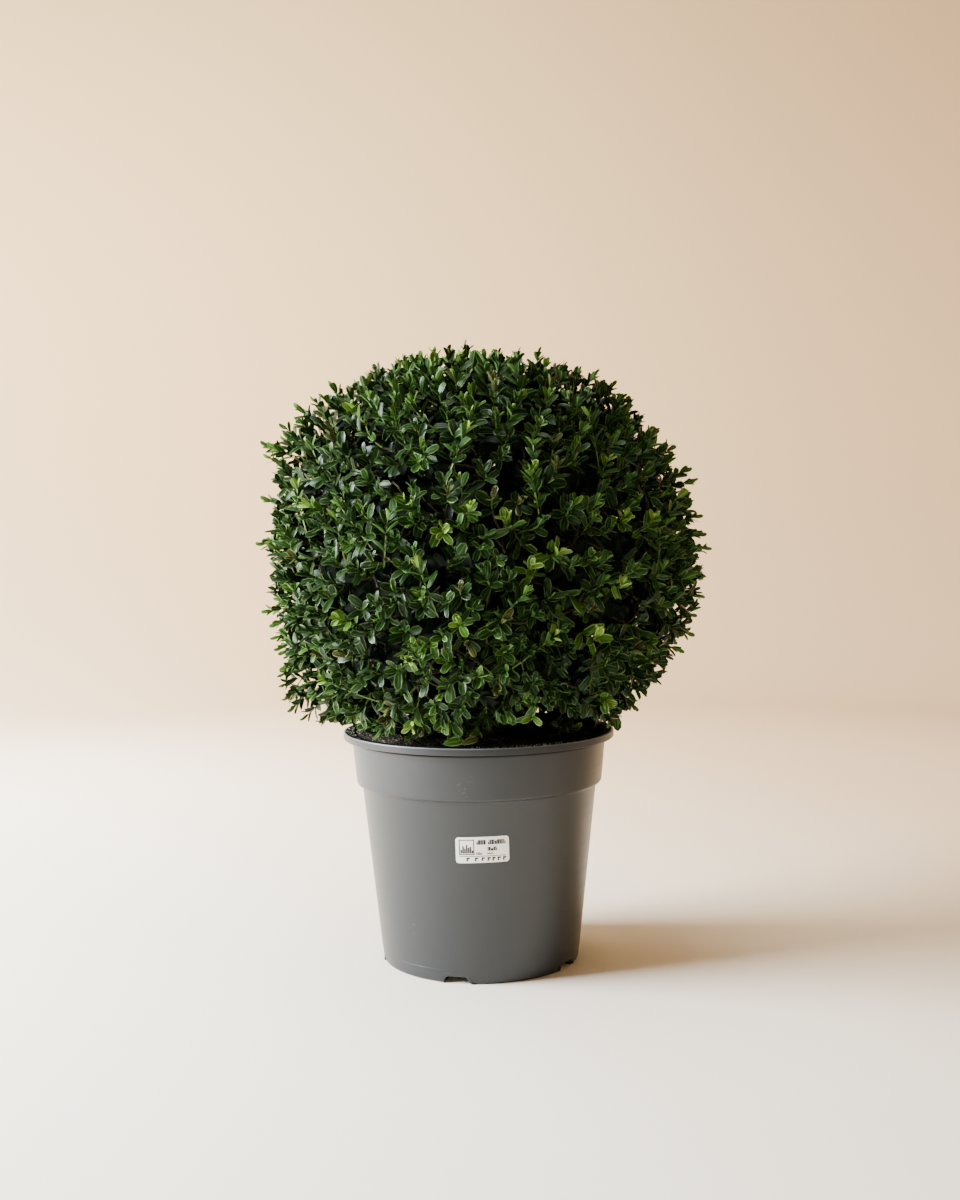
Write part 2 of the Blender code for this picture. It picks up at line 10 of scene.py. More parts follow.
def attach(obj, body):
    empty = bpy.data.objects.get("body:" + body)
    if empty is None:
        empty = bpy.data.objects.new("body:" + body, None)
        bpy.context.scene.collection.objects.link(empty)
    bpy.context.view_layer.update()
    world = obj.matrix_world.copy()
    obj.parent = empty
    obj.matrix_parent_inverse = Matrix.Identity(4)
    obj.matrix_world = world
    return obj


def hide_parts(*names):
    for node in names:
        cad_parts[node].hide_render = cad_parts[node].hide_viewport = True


# A clipped box ball in its nursery pot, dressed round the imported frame.
# Metres, +Z up, the pot stands on z = 0 and its front looks along -Y.

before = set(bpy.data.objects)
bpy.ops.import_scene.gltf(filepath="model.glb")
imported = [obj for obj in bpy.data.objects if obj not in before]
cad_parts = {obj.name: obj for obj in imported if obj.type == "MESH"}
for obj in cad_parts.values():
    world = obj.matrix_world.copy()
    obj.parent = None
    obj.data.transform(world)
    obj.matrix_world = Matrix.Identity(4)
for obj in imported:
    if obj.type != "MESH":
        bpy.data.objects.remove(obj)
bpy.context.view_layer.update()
up = Vector((0, 0, 1))


def linear(colour):  # "#rrggbb" in sRGB to linear RGBA
    parts = [int(colour[start:start + 2], 16) / 255 for start in (1, 3, 5)]
    return tuple(c / 12.92 if c <= 0.04045 else ((c + 0.055) / 1.055) ** 2.4 for c in parts) + (1.0,)


def connect(node, inputs):  # each takes a value, a "#rrggbb" colour, a socket, or a node's main output
    for name, value in inputs.items():
        if isinstance(value, bpy.types.Node):
            value = next(socket for socket in value.outputs if socket.enabled)
        if isinstance(value, bpy.types.NodeSocket):
            node.id_data.links.new(value, node.inputs[name])
        else:
            node.inputs[name].default_value = linear(value) if isinstance(value, str) else value


def addNode(tree, kind, inputs=None, **settings):
    node = tree.nodes.new("ShaderNode" + kind)
    for name, value in settings.items():
        setattr(node, name, value)
    connect(node, inputs or {})
    return node


def startMaterial(name, values):  # a material, its tree and its shader, with plain values set
    made = bpy.data.materials.new(name)
    made.use_nodes = True
    shader = made.node_tree.nodes["Principled BSDF"]
    connect(shader, values)
    return made, made.node_tree, shader


def makeTwoTone(name, dark, light, grain, values, relief=None, stretch=None):
    # A plain finish in two tones, mixed by a noise; relief is a bump's strength and depth.
    made, tree, shader = startMaterial(name, values)
    place = addNode(tree, "TexCoord").outputs["Object"]
    if stretch:
        place = addNode(tree, "Mapping", {"Vector": place, "Scale": stretch})
    tones = addNode(tree, "TexNoise", {"Vector": place, **grain})
    colour = addNode(tree, "Mix", {0: tones, 6: dark, 7: light}, data_type="RGBA")
    connect(shader, {"Base Color": colour})
    if relief:
        bump = addNode(tree, "Bump", {"Strength": relief[0], "Distance": relief[1], "Height": tones})
        connect(shader, {"Normal": bump})
    return made


def addObject(name, data):
    made = bpy.data.objects.new(name, data)
    bpy.context.scene.collection.objects.link(made)
    return made


def addPiece(name, mesh, finishes, slotName, *nodes):  # a finished piece that rides on the plant
    mesh.name = name
    for finish in finishes:
        mesh.materials.append(finish)
    piece = addObject(name, mesh)
    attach(piece, "root")
    if nodes:
        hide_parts(*nodes)


def plainMesh(bm):
    mesh = bpy.data.meshes.new("made")
    bm.to_mesh(mesh)
    bm.free()
    return mesh


def smooth(mesh, sharpAngle):  # smooth but for edges past this angle
    mesh.shade_smooth()
    mesh.set_sharp_from_angle(angle=math.radians(sharpAngle))
    return mesh


def turnOut(bm):
    bmesh.ops.recalc_face_normals(bm, faces=bm.faces)
    if bm.calc_volume(signed=True) < 0:
        bmesh.ops.reverse_faces(bm, faces=bm.faces)
    return bm


def meshFrom(bm, sharpAngle=30):
    return smooth(plainMesh(turnOut(bm)), sharpAngle)


def newest(made, kind):  # what an operator made, of one kind
    return [item for item in made["geom"] if isinstance(item, kind)]


def turn(bm, verts, angle, axis):
    matrix = Matrix.Rotation(angle, 3, axis)
    bmesh.ops.rotate(bm, verts=verts, cent=(0, 0, 0), matrix=matrix)


def bearing(azimuth, radius, z):  # azimuth from the front towards +X
    return Vector((radius * math.sin(azimuth), -radius * math.cos(azimuth), z))


def turnFrom(azimuth, other):  # the shorter way round from one azimuth to another
    return (azimuth - other + math.pi) % math.tau - math.pi


def clamp(share):
    return min(1.0, max(0.0, share))


def steps(first, last, count):  # numbers evenly spaced from first to last
    return [first + (last - first) * index / (count - 1) for index in range(count)]


def jolt(draw, size):  # a random vector, each part within this size
    return Vector([draw.uniform(-size, size) for _ in range(3)])


def radianRows(angles, *rows):  # rows of a table whose first numbers are angles in degrees
    return [(*map(math.radians, row[:angles]), *row[angles:]) for row in rows]


# Pot: injection-moulded, a tapered body, a wider band over a step, a lip turned down over it.
pot = {
    "height": 0.221,
    "rimRadius": 0.130,
    "baseRadius": 0.0944,
    "stepRadius": 0.1124,
    "stepZ": 0.1674,
    "bandLowRadius": 0.1182,
    "bandLowZ": 0.1745,
    "bandHighRadius": 0.1222,
    "bandRounding": 0.004,
    "wall": 0.0018,
    "floor": 0.0022,
    "floorRounding": 0.002,
    "footRounding": 0.003,
    "lipHeight": 0.0065,
    "lipWeb": 0.0024,
    "lipRounding": 0.0011,
    "lipEdge": 0.0004,
    "rimEdge": 0.0014,
    "segments": 240,
    "cornerSteps": 7,
    "sharpAngle": 28,
    "notches": 5,
    "firstNotch": math.radians(-14),
    "notchLow": 0.026,
    "notchHigh": 0.019,
    "notchHeight": 0.0066,
    "notchDepth": 0.022,
    "notchRounding": 0.0016,
    "drainRadius": 0.0045,
    "drainShift": 0.002,  # how far the drain hole lies inside the middle of its notch
    "seamZ": 0.0125,
    "seamRadius": 0.00022,
    "seamStart": math.radians(-51),
    "seamEnd": math.radians(-15.5),
    "nubRadius": 0.0009,
    "nubDepth": 0.0004,
    # where the painted shade under the lip begins
    "underLipShadeZ": 0.2106,
}


def bodyRadius(z):
    return pot["baseRadius"] + (pot["stepRadius"] - pot["baseRadius"]) * z / pot["stepZ"]


def innerRadius(z):  # of the inside of the pot's wall
    wall = (
        (0.0, pot["baseRadius"]), (pot["stepZ"], pot["stepRadius"]),
        (pot["bandLowZ"], pot["bandLowRadius"]), (pot["height"], pot["bandHighRadius"]),
    )
    for (low, lowRadius), (high, highRadius) in zip(wall, wall[1:]):
        if z <= high:
            return lowRadius + (highRadius - lowRadius) * (z - low) / (high - low) - pot["wall"]
    return pot["bandHighRadius"] - pot["wall"]


def roundCorner(centreRadius, centreZ, radius, start, end):  # degrees, 0 points outwards
    angles = [math.radians(angle) for angle in steps(start, end, pot["cornerSteps"] + 1)]
    return [(centreRadius + radius * math.cos(a), centreZ + radius * math.sin(a)) for a in angles]


def potSection():  # outer side down, underside to the axis, inner side up
    rounding, rim, top, edge = pot["lipRounding"], pot["rimRadius"], pot["height"], pot["lipEdge"]
    web, under, inside = top - pot["lipWeb"], top - pot["lipHeight"], rim - pot["wall"]
    band, foot, floor = pot["bandRounding"], pot["footRounding"], pot["floor"]
    section = roundCorner(rim - rounding, top - rounding, rounding, 90, 0)
    section += [(rim, under + edge), (rim - edge, under), (inside, under), (inside, web)]
    section += [(pot["bandHighRadius"], web)]
    section += roundCorner(pot["bandLowRadius"] - band, pot["bandLowZ"], band, 0, -90)
    section += [(pot["stepRadius"], pot["stepZ"]), (bodyRadius(pot["seamZ"]), pot["seamZ"])]
    section += roundCorner(pot["baseRadius"] - foot, foot, foot, 0, -90)
    section += [(0.0, 0.0), (0.0, floor), (innerRadius(0) - pot["floorRounding"], floor)]
    heights = (floor + pot["floorRounding"], pot["seamZ"], pot["stepZ"], pot["bandLowZ"])
    section += [(innerRadius(z), z) for z in heights]
    edge = pot["rimEdge"]
    return section + roundCorner(innerRadius(top) + edge, top - edge, edge, 180, 90)


def spun(section, segments):  # a solid turned round the axis
    bm = bmesh.new()
    verts = [bm.verts.new((radius, 0, z)) for radius, z in section]
    closed = verts if section[0][0] < 1e-6 else verts + verts[:1]
    edges = [bm.edges.new(pair) for pair in zip(closed, closed[1:])]
    bmesh.ops.spin(
        bm, geom=verts + edges, axis=up, cent=(0, 0, 0),
        steps=segments, angle=math.tau, use_merge=True,
    )
    bmesh.ops.remove_doubles(bm, verts=bm.verts, dist=1e-6)
    return bm


def block(lowWidth, highWidth, bottom, top, inner, outer, azimuth):  # a trapezoid along a radius
    bm = bmesh.new()
    bmesh.ops.create_cube(bm, size=1.0)
    for vert in bm.verts:
        high = vert.co.z > 0
        vert.co.x = math.copysign((highWidth if high else lowWidth) / 2, vert.co.x)
        vert.co.y = -(outer if vert.co.y < 0 else inner)
        vert.co.z = top if high else bottom
    rounding = pot["notchRounding"]
    along = [e for e in bm.edges if e.verts[0].co.z > bottom and e.verts[1].co.z > bottom]
    along = [e for e in along if abs(e.verts[0].co.x - e.verts[1].co.x) < rounding]
    bmesh.ops.bevel(
        bm, geom=along, offset=rounding, offset_type="OFFSET",
        affect="EDGES", segments=5, profile=0.5, material=-1,
    )
    turn(bm, bm.verts, azimuth, "Z")
    bmesh.ops.recalc_face_normals(bm, faces=bm.faces)
    return bm


def drainHole(centre):
    bm, radius = bmesh.new(), pot["drainRadius"]
    bmesh.ops.create_cone(bm, cap_ends=True, segments=40, radius1=radius, radius2=radius, depth=0.02)
    bmesh.ops.translate(bm, verts=bm.verts, vec=centre)
    return bm


def joinedByBoolean(base, shapes, operation):  # applies one Boolean after another, keeps the base
    others = [addObject("helper", plainMesh(bm)) for bm in shapes]
    for other in others:
        step = base.modifiers.new(other.name, "BOOLEAN")
        step.operation = operation
        step.solver = "EXACT"
        step.object = other
    graph = bpy.context.evaluated_depsgraph_get()
    mesh = bpy.data.meshes.new_from_object(base.evaluated_get(graph))
    base.modifiers.clear()
    base.data = mesh
    for other in others:
        bpy.data.objects.remove(other, do_unlink=True)


def seamBead():  # the faint raised line that the mould's foot part leaves, ended by a nub
    bm, z = bmesh.new(), pot["seamZ"]
    bmesh.ops.create_circle(bm, segments=8, radius=pot["seamRadius"])
    turn(bm, bm.verts, math.pi / 2, "Y")
    turn(bm, bm.verts, pot["seamStart"], "Z")
    bmesh.ops.translate(bm, verts=bm.verts, vec=bearing(pot["seamStart"], bodyRadius(z), z))
    bmesh.ops.spin(
        bm, geom=bm.verts[:] + bm.edges[:], axis=up, cent=(0, 0, 0),
        steps=48, angle=pot["seamEnd"] - pot["seamStart"],
    )
    bmesh.ops.holes_fill(bm, edges=[e for e in bm.edges if e.is_boundary])
    nub = bmesh.ops.create_uvsphere(bm, u_segments=14, v_segments=8, radius=pot["nubRadius"])
    place = bearing(pot["seamEnd"], bodyRadius(z) - pot["nubDepth"], z)
    bmesh.ops.translate(bm, verts=nub["verts"], vec=place)
    return bm


def makePotPlastic():
    # Recycled polypropylene, injection-moulded: a satin grey with faint flow bands round the wall,
    # pale scuffs where pots rub together, and a fine grain that softens the gloss.
    made, tree, shader = startMaterial("mouldedPolypropylene", {"IOR": 1.46})
    place = addNode(tree, "TexCoord").outputs["Object"]
    flow = addNode(tree, "Mapping", {"Vector": place, "Scale": (25, 25, 200)})  # 40 mm long, 5 mm tall
    bands = addNode(tree, "TexNoise", {"Vector": flow, "Scale": 1.0, "Detail": 3.0, "Roughness": 0.5})
    tone = addNode(tree, "Mix", {0: bands, 6: "#22272c", 7: "#24292e"}, data_type="RGBA")
    streaks = addNode(  # scuffs 2 to 6 mm long and under 2 mm tall, slanting
        tree, "Mapping", {"Vector": place, "Scale": (210, 210, 620), "Rotation": (0.5, 0.2, 0)},
    )
    scuffs = addNode(
        tree, "TexNoise", {"Vector": streaks, "Scale": 1.0, "Detail": 4.0, "Roughness": 0.62},
    )
    patches = addNode(tree, "TexNoise", {"Vector": place, "Scale": 22.0, "Detail": 2.0})
    rubbed = addNode(tree, "Math", {0: scuffs, 1: patches}, operation="MULTIPLY")
    worn = addNode(
        tree, "MapRange",
        {"Value": rubbed, "From Min": 0.45, "From Max": 0.53, "To Min": 0.0, "To Max": 0.35},
    )
    colour = addNode(tree, "Mix", {0: worn, 6: tone, 7: "#7d7e7c"}, data_type="RGBA")
    x, y, z = addNode(tree, "SeparateXYZ", {"Vector": place}).outputs
    across = addNode(tree, "CombineXYZ", {"X": x, "Y": y})
    radius = addNode(tree, "VectorMath", {"Vector": across}, operation="LENGTH")
    underLipShade = addNode(  # painted shade in the corner under the lip and on the lip's top, where compost dust also lies
        tree, "MapRange",
        {"Value": z, "From Min": pot["underLipShadeZ"], "From Max": pot["height"] - pot["lipHeight"] - 0.0012,
         "To Min": 0.0, "To Max": 0.9},
        interpolation_type="SMOOTHSTEP",
    )
    inside = addNode(tree, "Math", {0: radius, 1: pot["rimRadius"] - 0.0019}, operation="LESS_THAN")
    corner = addNode(tree, "Math", {0: underLipShade, 1: inside}, operation="MULTIPLY")
    # painted shade under the lip and on its top, with compost dust there too, mixed towards near black
    shadedAndDusty = addNode(tree, "Mix", {0: corner, 6: colour, 7: "#0c0b0a"}, data_type="RGBA")
    edge = addNode(  # painted highlight: the lip's outer edge painted pale blue-grey, partly wear where pots are stacked
        tree, "MapRange",
        {"Value": z, "From Min": pot["height"] - 0.0011, "From Max": pot["height"] - 0.0004},
    )
    outer = addNode(
        tree, "MapRange",
        {"Value": radius, "From Min": pot["rimRadius"] - 0.0016, "From Max": pot["rimRadius"] - 0.0009},
    )
    rim = addNode(tree, "Math", {0: edge, 1: outer}, operation="MULTIPLY")
    paintedRimHighlight = addNode(tree, "Math", {0: rim, 1: 0.8}, operation="MULTIPLY")
    # the painted highlight along the lip's edge is mixed in here
    whole = addNode(tree, "Mix", {0: paintedRimHighlight, 6: shadedAndDusty, 7: "#7c858d"}, data_type="RGBA")
    satin = addNode(
        tree, "MapRange",
        {"Value": bands, "From Min": 0.3, "From Max": 0.7, "To Min": 0.35, "To Max": 0.38},
    )
    rough = addNode(tree, "Mix", {0: corner, 2: satin, 3: 0.95})
    gloss = addNode(
        tree, "MapRange",
        {"Value": corner, "From Min": 0.0, "From Max": 0.9, "To Min": 0.5, "To Max": 0.05},
    )
    # mould grain of 0.5 mm, coarser than the real 0.1 mm so that it shows
    grain = addNode(tree, "TexNoise", {"Vector": place, "Scale": 2000.0, "Detail": 2.0})
    waves = addNode(tree, "Bump", {"Strength": 0.02, "Distance": 0.0004, "Height": bands})
    bump = addNode(
        tree, "Bump", {"Strength": 0.05, "Distance": 0.0001, "Height": grain, "Normal": waves},
    )
    connect(shader, {
        "Base Color": whole, "Roughness": rough, "Specular IOR Level": gloss, "Normal": bump,
    })
    return made


def makePot():
    plastic = makePotPlastic()
    base = addObject("potBody", plainMesh(spun(potSection(), pot["segments"])))
    wall, height, low, high = pot["wall"], pot["notchHeight"], pot["notchLow"], pot["notchHigh"]
    depth = pot["baseRadius"] - pot["notchDepth"]
    pockets, cutters = [], []
    for number in range(pot["notches"]):
        azimuth = pot["firstNotch"] + math.tau * number / pot["notches"]
        pockets.append(block(
            low + 2 * wall, high + 2 * wall, pot["floor"] / 2, height + wall,
            depth - wall, bodyRadius(height) - wall / 2, azimuth,
        ))
        cutters.append(block(low, high, -0.0004, height, depth, pot["rimRadius"], azimuth))
        drain = depth + pot["notchDepth"] / 2 - pot["drainShift"]
        cutters.append(drainHole(bearing(azimuth, drain, height)))
    joinedByBoolean(base, pockets, "UNION")
    joinedByBoolean(base, cutters, "DIFFERENCE")
    mesh = base.data
    bpy.data.objects.remove(base, do_unlink=True)
    mesh.materials.clear()
    addPiece("potShell", smooth(mesh, pot["sharpAngle"]), [plastic], "pot_plastic", "pot")
    addPiece("potSeam", meshFrom(seamBead()), [plastic], "pot_plastic")
    print("pot:", len(mesh.polygons), "faces")


# Compost: peat and bark fines, filled to a little under the rim.
compost = {
    "top": 0.2125,
    "underside": pot["notchHeight"] + pot["wall"] + 0.0006,
    "clear": 0.0006,
    "lump": 0.0024,
    "lumpSize": 0.009,
    "lumpShape": (0.7, 2.1, 4),  # fractal dimension, gap between octaves, octaves
    "levelRadius": 0.024,
    "levelEdge": 0.012,
    "bank": 0.0150,  # how far it is heaped up at the left, inside the wall
    "bankAzimuth": math.radians(-80),
    "bankSpread": math.radians(56),
    "bankInner": 0.066,
    "bankWidth": 0.036,
    "bankOuter": 0.015,
    "bankFall": 0.56,  # share that is left of it at the wall
    "rings": 46,
    "segments": 160,
    "bits": (  # piece, count, sizes, thickness, finish, its dark and light tone, roughness, grain
        ("peatCrumbs", 2300, (0.0006, 0.0024), 0.8, "peatCrumb", "#0d0a07", "#241c14", 0.95, 0.002),
        ("barkChips", 120, (0.002, 0.0055), 0.3, "barkChip", "#211811", "#4a3827", 0.85, 0.003),
        ("perliteGrit", 60, (0.0008, 0.0018), 0.9, "perliteGrit", "#b9b3a6", "#e2ddd2", 0.8, 0.001),
    ),
    "mossPatches": radianRows(  # azimuth, spread, inner and outer radius, count
        2, (-74, 36, 0.080, 0.118, 950), (22, 13, 0.1212, 0.1285, 90), (-85, 12, 0.1200, 0.1270, 60),
    ),
    "mossSizes": (0.0005, 0.0017),
    "fibres": 260,
    "fibreLengths": (0.005, 0.019),
    "fibreRadius": 0.00022,
    "fibrePoints": 7,
    "fibreTurn": 0.45,
    "wallGap": 0.002,  # how far loose bits stay off the wall
    "seed": 5,
}


def soilHeight(x, y):  # the lumpy top, level round the stem and a little low at the wall
    distance = math.hypot(x, y)
    free = clamp((distance - compost["levelRadius"]) / compost["levelEdge"])
    place = Vector((x, y, 0.0)) / compost["lumpSize"]
    rough = noise.fractal(place, *compost["lumpShape"], noise_basis="PERLIN_ORIGINAL")
    turned = turnFrom(math.atan2(x, -y), compost["bankAzimuth"]) / compost["bankSpread"]
    rise = clamp((distance - compost["bankInner"]) / compost["bankWidth"])
    fall = clamp((distance - compost["bankInner"] - compost["bankWidth"]) / compost["bankOuter"])
    bank = compost["bank"] * math.exp(-(turned ** 2)) * rise * rise * (3 - 2 * rise)
    bank *= 1 - (1 - compost["bankFall"]) * fall
    return compost["top"] + compost["lump"] * free * rough + bank


def makePeat():
    # Peat compost: matt, nearly black where it is damp, brown where it has dried, with a crumbly skin.
    made, tree, shader = startMaterial("dampPeat", {"Roughness": 0.93, "IOR": 1.4})
    place = addNode(tree, "TexCoord").outputs["Object"]
    crumbs = addNode(  # crumbs about 3 mm across
        tree, "TexNoise", {"Vector": place, "Scale": 330.0, "Detail": 5.0, "Roughness": 0.65},
    )
    dryness = addNode(  # dry patches about 30 mm across
        tree, "TexNoise", {"Vector": place, "Scale": 34.0, "Detail": 2.0},
    )
    damp = addNode(tree, "Mix", {0: crumbs, 6: "#0a0806", 7: "#1b150f"}, data_type="RGBA")
    colour = addNode(
        tree, "Mix", {0: dryness, 6: damp, 7: "#0f0c09"}, data_type="RGBA", blend_type="SCREEN",
    )
    bump = addNode(tree, "Bump", {"Strength": 0.8, "Distance": 0.0009, "Height": crumbs})
    connect(shader, {"Base Color": colour, "Normal": bump})
    return made


def makeBitFinish(name, dark, light, roughness, grain):
    # Loose bits in the compost: dry and matt, each a little lighter or darker along its length.
    return makeTwoTone(name, dark, light, {"Scale": 1.0 / grain, "Detail": 2.0}, {"Roughness": roughness})


def templateOf(bm):  # points and triangles of a small closed shape, which is copied many times
    bmesh.ops.triangulate(turnOut(bm), faces=bm.faces)
    bm.verts.index_update()
    points = np.array([vert.co for vert in bm.verts])
    faces = np.array([[vert.index for vert in face.verts] for face in bm.faces])
    finishes = np.array([face.material_index for face in bm.faces])
    bm.free()
    return points, faces, finishes


def joinedMesh(points, faces, finishes, sharpAngle, places=None):
    # points is copies x verts x 3; every copy has the same faces; places is each point's place on a leaf
    copies, count = points.shape[:2]
    corners = (faces[None] + (np.arange(copies) * count)[:, None, None]).reshape(-1)
    mesh = bpy.data.meshes.new("joined")
    mesh.vertices.add(copies * count)
    mesh.vertices.foreach_set("co", points.reshape(-1).astype(np.float32))
    mesh.loops.add(len(corners))
    mesh.loops.foreach_set("vertex_index", corners.astype(np.int32))
    mesh.polygons.add(len(corners) // 3)
    mesh.polygons.foreach_set("loop_start", np.arange(0, len(corners), 3, dtype=np.int32))
    mesh.polygons.foreach_set("material_index", np.tile(finishes, copies).astype(np.int32))
    mesh.update(calc_edges=True)
    if places is not None:
        layer = mesh.attributes.new("leafPlace", "FLOAT_VECTOR", "POINT")
        layer.data.foreach_set("vector", places.reshape(-1).astype(np.float32))
    return smooth(mesh, sharpAngle)


def soilSpot(draw, patch=None):  # an even spread round the stem, or over one patch alone
    low, high = compost["levelRadius"] * 0.85, innerRadius(compost["top"]) - compost["wallGap"]
    azimuth = draw.uniform(0, math.tau)
    if patch:
        azimuth, low, high = draw.gauss(*patch[:2]), patch[2], patch[3]
    distance = math.sqrt(draw.uniform(low * low, high * high))
    spot = bearing(azimuth, distance, pot["height"])
    if distance < innerRadius(pot["height"]):
        spot.z = soilHeight(spot.x, spot.y)
    return spot


def scatterBits(name, count, sizes, thickness, finish, draw, patch=None):
    bm = bmesh.new()
    bmesh.ops.create_icosphere(bm, subdivisions=1, radius=0.5)
    for vert in bm.verts:
        vert.co *= draw.uniform(0.75, 1.25)
    shape, faces, finishes = templateOf(bm)
    copies = []
    for _ in range(count):
        size = sizes[0] + (sizes[1] - sizes[0]) * draw.random() ** 2
        scale = Matrix.Diagonal((size, size * draw.uniform(0.6, 1.0), size * thickness))
        spot = soilSpot(draw, patch) + size * 0.15 * up
        axis = "Z"
        if thickness > 0.5:  # flat bits lie flat, the others any way round
            axis = Vector((draw.gauss(0, 1), draw.gauss(0, 1), draw.gauss(0, 1))).normalized()
        lie = Matrix.Rotation(draw.uniform(0, math.tau), 3, axis)
        copies.append(shape @ np.array(lie @ scale).T + np.array(spot))
    addPiece(name, joinedMesh(np.array(copies), faces, finishes, 40), [finish], "compost")


def tubeTemplate(sides, rings):  # triangles of a capped tube; a point's number is ring * sides + side
    bm = bmesh.new()
    bmesh.ops.create_circle(bm, cap_ends=True, segments=sides, radius=1.0)
    edges = bm.edges[:]
    for _ in range(rings - 1):
        made = bmesh.ops.extrude_edge_only(bm, edges=edges)
        verts = newest(made, bmesh.types.BMVert)
        bmesh.ops.translate(bm, verts=verts, vec=up)
        edges = [e for e in newest(made, bmesh.types.BMEdge) if e.verts[0] in verts and e.verts[1] in verts]
    bmesh.ops.contextual_create(bm, geom=edges)
    points, faces, finishes = templateOf(bm)
    sideOf = np.round(np.arctan2(-points[:, 0], points[:, 1]) / math.tau * sides).astype(int) % sides
    return (np.round(points[:, 2]).astype(int) * sides + sideOf)[faces], finishes


def tubePoints(lines, radii, sides):  # lines is tubes x rings x 3, radii is tubes x rings
    ways = np.gradient(lines, axis=1)
    ways /= np.linalg.norm(ways, axis=2, keepdims=True)
    whole = lines[:, -1] - lines[:, 0]
    shortest = np.eye(3)[np.argmin(np.abs(whole), axis=1)]
    across = np.cross(ways, shortest[:, None])
    across /= np.linalg.norm(across, axis=2, keepdims=True)
    over = np.cross(ways, across)
    angles = np.arange(sides) * math.tau / sides
    ring = (across[:, :, None] * np.cos(angles)[None, None, :, None]
            + over[:, :, None] * np.sin(angles)[None, None, :, None])
    points = lines[:, :, None] + radii[:, :, None, None] * ring
    return points.reshape(len(lines), -1, 3)


def joinedTubes(lines, radii, sides, sharpAngle=70):
    lines, radii = np.array(lines), np.array(radii)
    faces, finishes = tubeTemplate(sides, lines.shape[1])
    return joinedMesh(tubePoints(lines, radii, sides), faces, finishes, sharpAngle)


def scatterFibres(finish, draw):  # fine roots and peat fibres that lie on the compost
    lines, radii = [], []
    radius, count = compost["fibreRadius"], compost["fibrePoints"]
    reach = innerRadius(compost["top"]) - compost["wallGap"]
    for _ in range(compost["fibres"]):
        start = soilSpot(draw)
        length = draw.uniform(*compost["fibreLengths"])
        heading = draw.uniform(0, math.tau)
        line = []
        for _ in range(count):
            heading += draw.uniform(-compost["fibreTurn"], compost["fibreTurn"])
            lift = radius * 1.5 + draw.uniform(0, 0.0012)
            line.append((start.x, start.y, soilHeight(start.x, start.y) + lift))
            start += length / (count - 1) * Vector((math.cos(heading), math.sin(heading), 0))
            distance = math.hypot(start.x, start.y)
            if distance > reach:
                start *= reach / distance
                heading += 2.0
        lines.append(line)
        radii.append([radius * draw.uniform(0.6, 1.2)] * count)
    addPiece("peatFibres", joinedTubes(lines, radii, 4), [finish], "compost")


def makeCompost():
    draw = random.Random(compost["seed"])
    top, low, clear, rings = compost["top"], compost["underside"], compost["clear"], compost["rings"]
    edge = innerRadius(top) - clear
    section = [(0.0, top)] + [(edge * step / rings, top) for step in range(1, rings)]
    heights = (top - 0.0008, pot["bandLowZ"], pot["stepZ"], low + 0.002)
    section += [(innerRadius(z) - clear, z) for z in heights]
    section += [(innerRadius(low) - 0.003, low), (0.0, low)]
    bm = spun(section, compost["segments"])
    for vert in bm.verts:
        if vert.co.z > top - 0.0005:
            vert.co.z = soilHeight(vert.co.x, vert.co.y)
    mesh = meshFrom(bm, 60)
    addPiece("compostPlug", mesh, [makePeat()], "compost", "soil")
    for name, count, sizes, thickness, *finish in compost["bits"]:
        scatterBits(name, count, sizes, thickness, makeBitFinish(*finish), draw)
    fibre = makeBitFinish("driedRoot", "#33271a", "#5f4c34", 0.8, 0.006)
    moss = makeBitFinish("driedMoss", "#4a5630", "#b4bc9c", 0.9, 0.001)
    for number, patch in enumerate(compost["mossPatches"], 1):
        scatterBits(f"mossCrumbs{number}", patch[4], compost["mossSizes"], 0.9, moss, draw, patch)
    scatterFibres(fibre, draw)
    print("compost:", len(mesh.polygons), "faces and its loose bits")


# Crown: the clipped outline, part sphere and part cube, bowed to the right at mid height.
crown = {
    "radius": 0.206,
    "middleZ": 0.377,
    "up": 0.206,
    "down": 0.174,
    "squareUp": 2.3,
    "squareDown": 2.5,
    "bow": 0.0066,
    "bowBack": 0.0152,
    "undersideZ": pot["height"] + 0.0012,
    "clear": 0.003,  # how far growth stays off the rim and the trunk
    "clearings": radianRows(  # where the underside is higher: azimuth, spread, rise over the pot, past it
        2, (25, 25, 0.017, 0.030), (-64, 20, 0.010, 0.019),
    ),
    "lumps": radianRows(  # azimuth, height, how proud, how wide
        1, (-90, 0.497, 0.015, 0.045), (-90, 0.303, -0.012, 0.030), (-80, 0.246, 0.013, 0.028),
        (88, 0.352, 0.007, 0.040), (95, 0.292, -0.008, 0.035), (170, 0.330, 0.006, 0.060),
        (150, 0.480, -0.005, 0.050), (10, 0.420, 0.004, 0.060),
    ),
}
middle = Vector((0, 0, crown["middleZ"]))


def bow(z):
    share = (z - crown["middleZ"]) / (crown["up"] if z > crown["middleZ"] else crown["down"])
    return crown["bow"] - crown["bowBack"] * share * share


def lump(azimuth, z):
    total = 0.0
    for lumpAzimuth, lumpZ, proud, spread in crown["lumps"]:
        across = turnFrom(azimuth, lumpAzimuth) * crown["radius"] * 0.8
        total += proud * math.exp(-((math.hypot(across, z - lumpZ) / spread) ** 2))
    return total


def fullness(point, depth=0.0):  # below 1 inside the outline, or inside one this much deeper
    x = point.x - bow(point.z)
    radius = crown["radius"] + lump(math.atan2(x, -point.y), point.z) - depth
    above = point.z > crown["middleZ"]
    power = crown["squareUp"] if above else crown["squareDown"]
    height = (crown["up"] if above else crown["down"]) - depth
    return (math.hypot(x, point.y) / radius) ** power + (abs(point.z - crown["middleZ"]) / height) ** power


def outlinePoint(direction, depth=0.0):  # where a ray from the crown's middle meets the outline
    near, far = 0.0, 2 * crown["radius"]
    for _ in range(18):
        half = (near + far) / 2
        if fullness(middle + half * direction, depth) < 1:
            near = half
        else:
            far = half
    return middle + near * direction


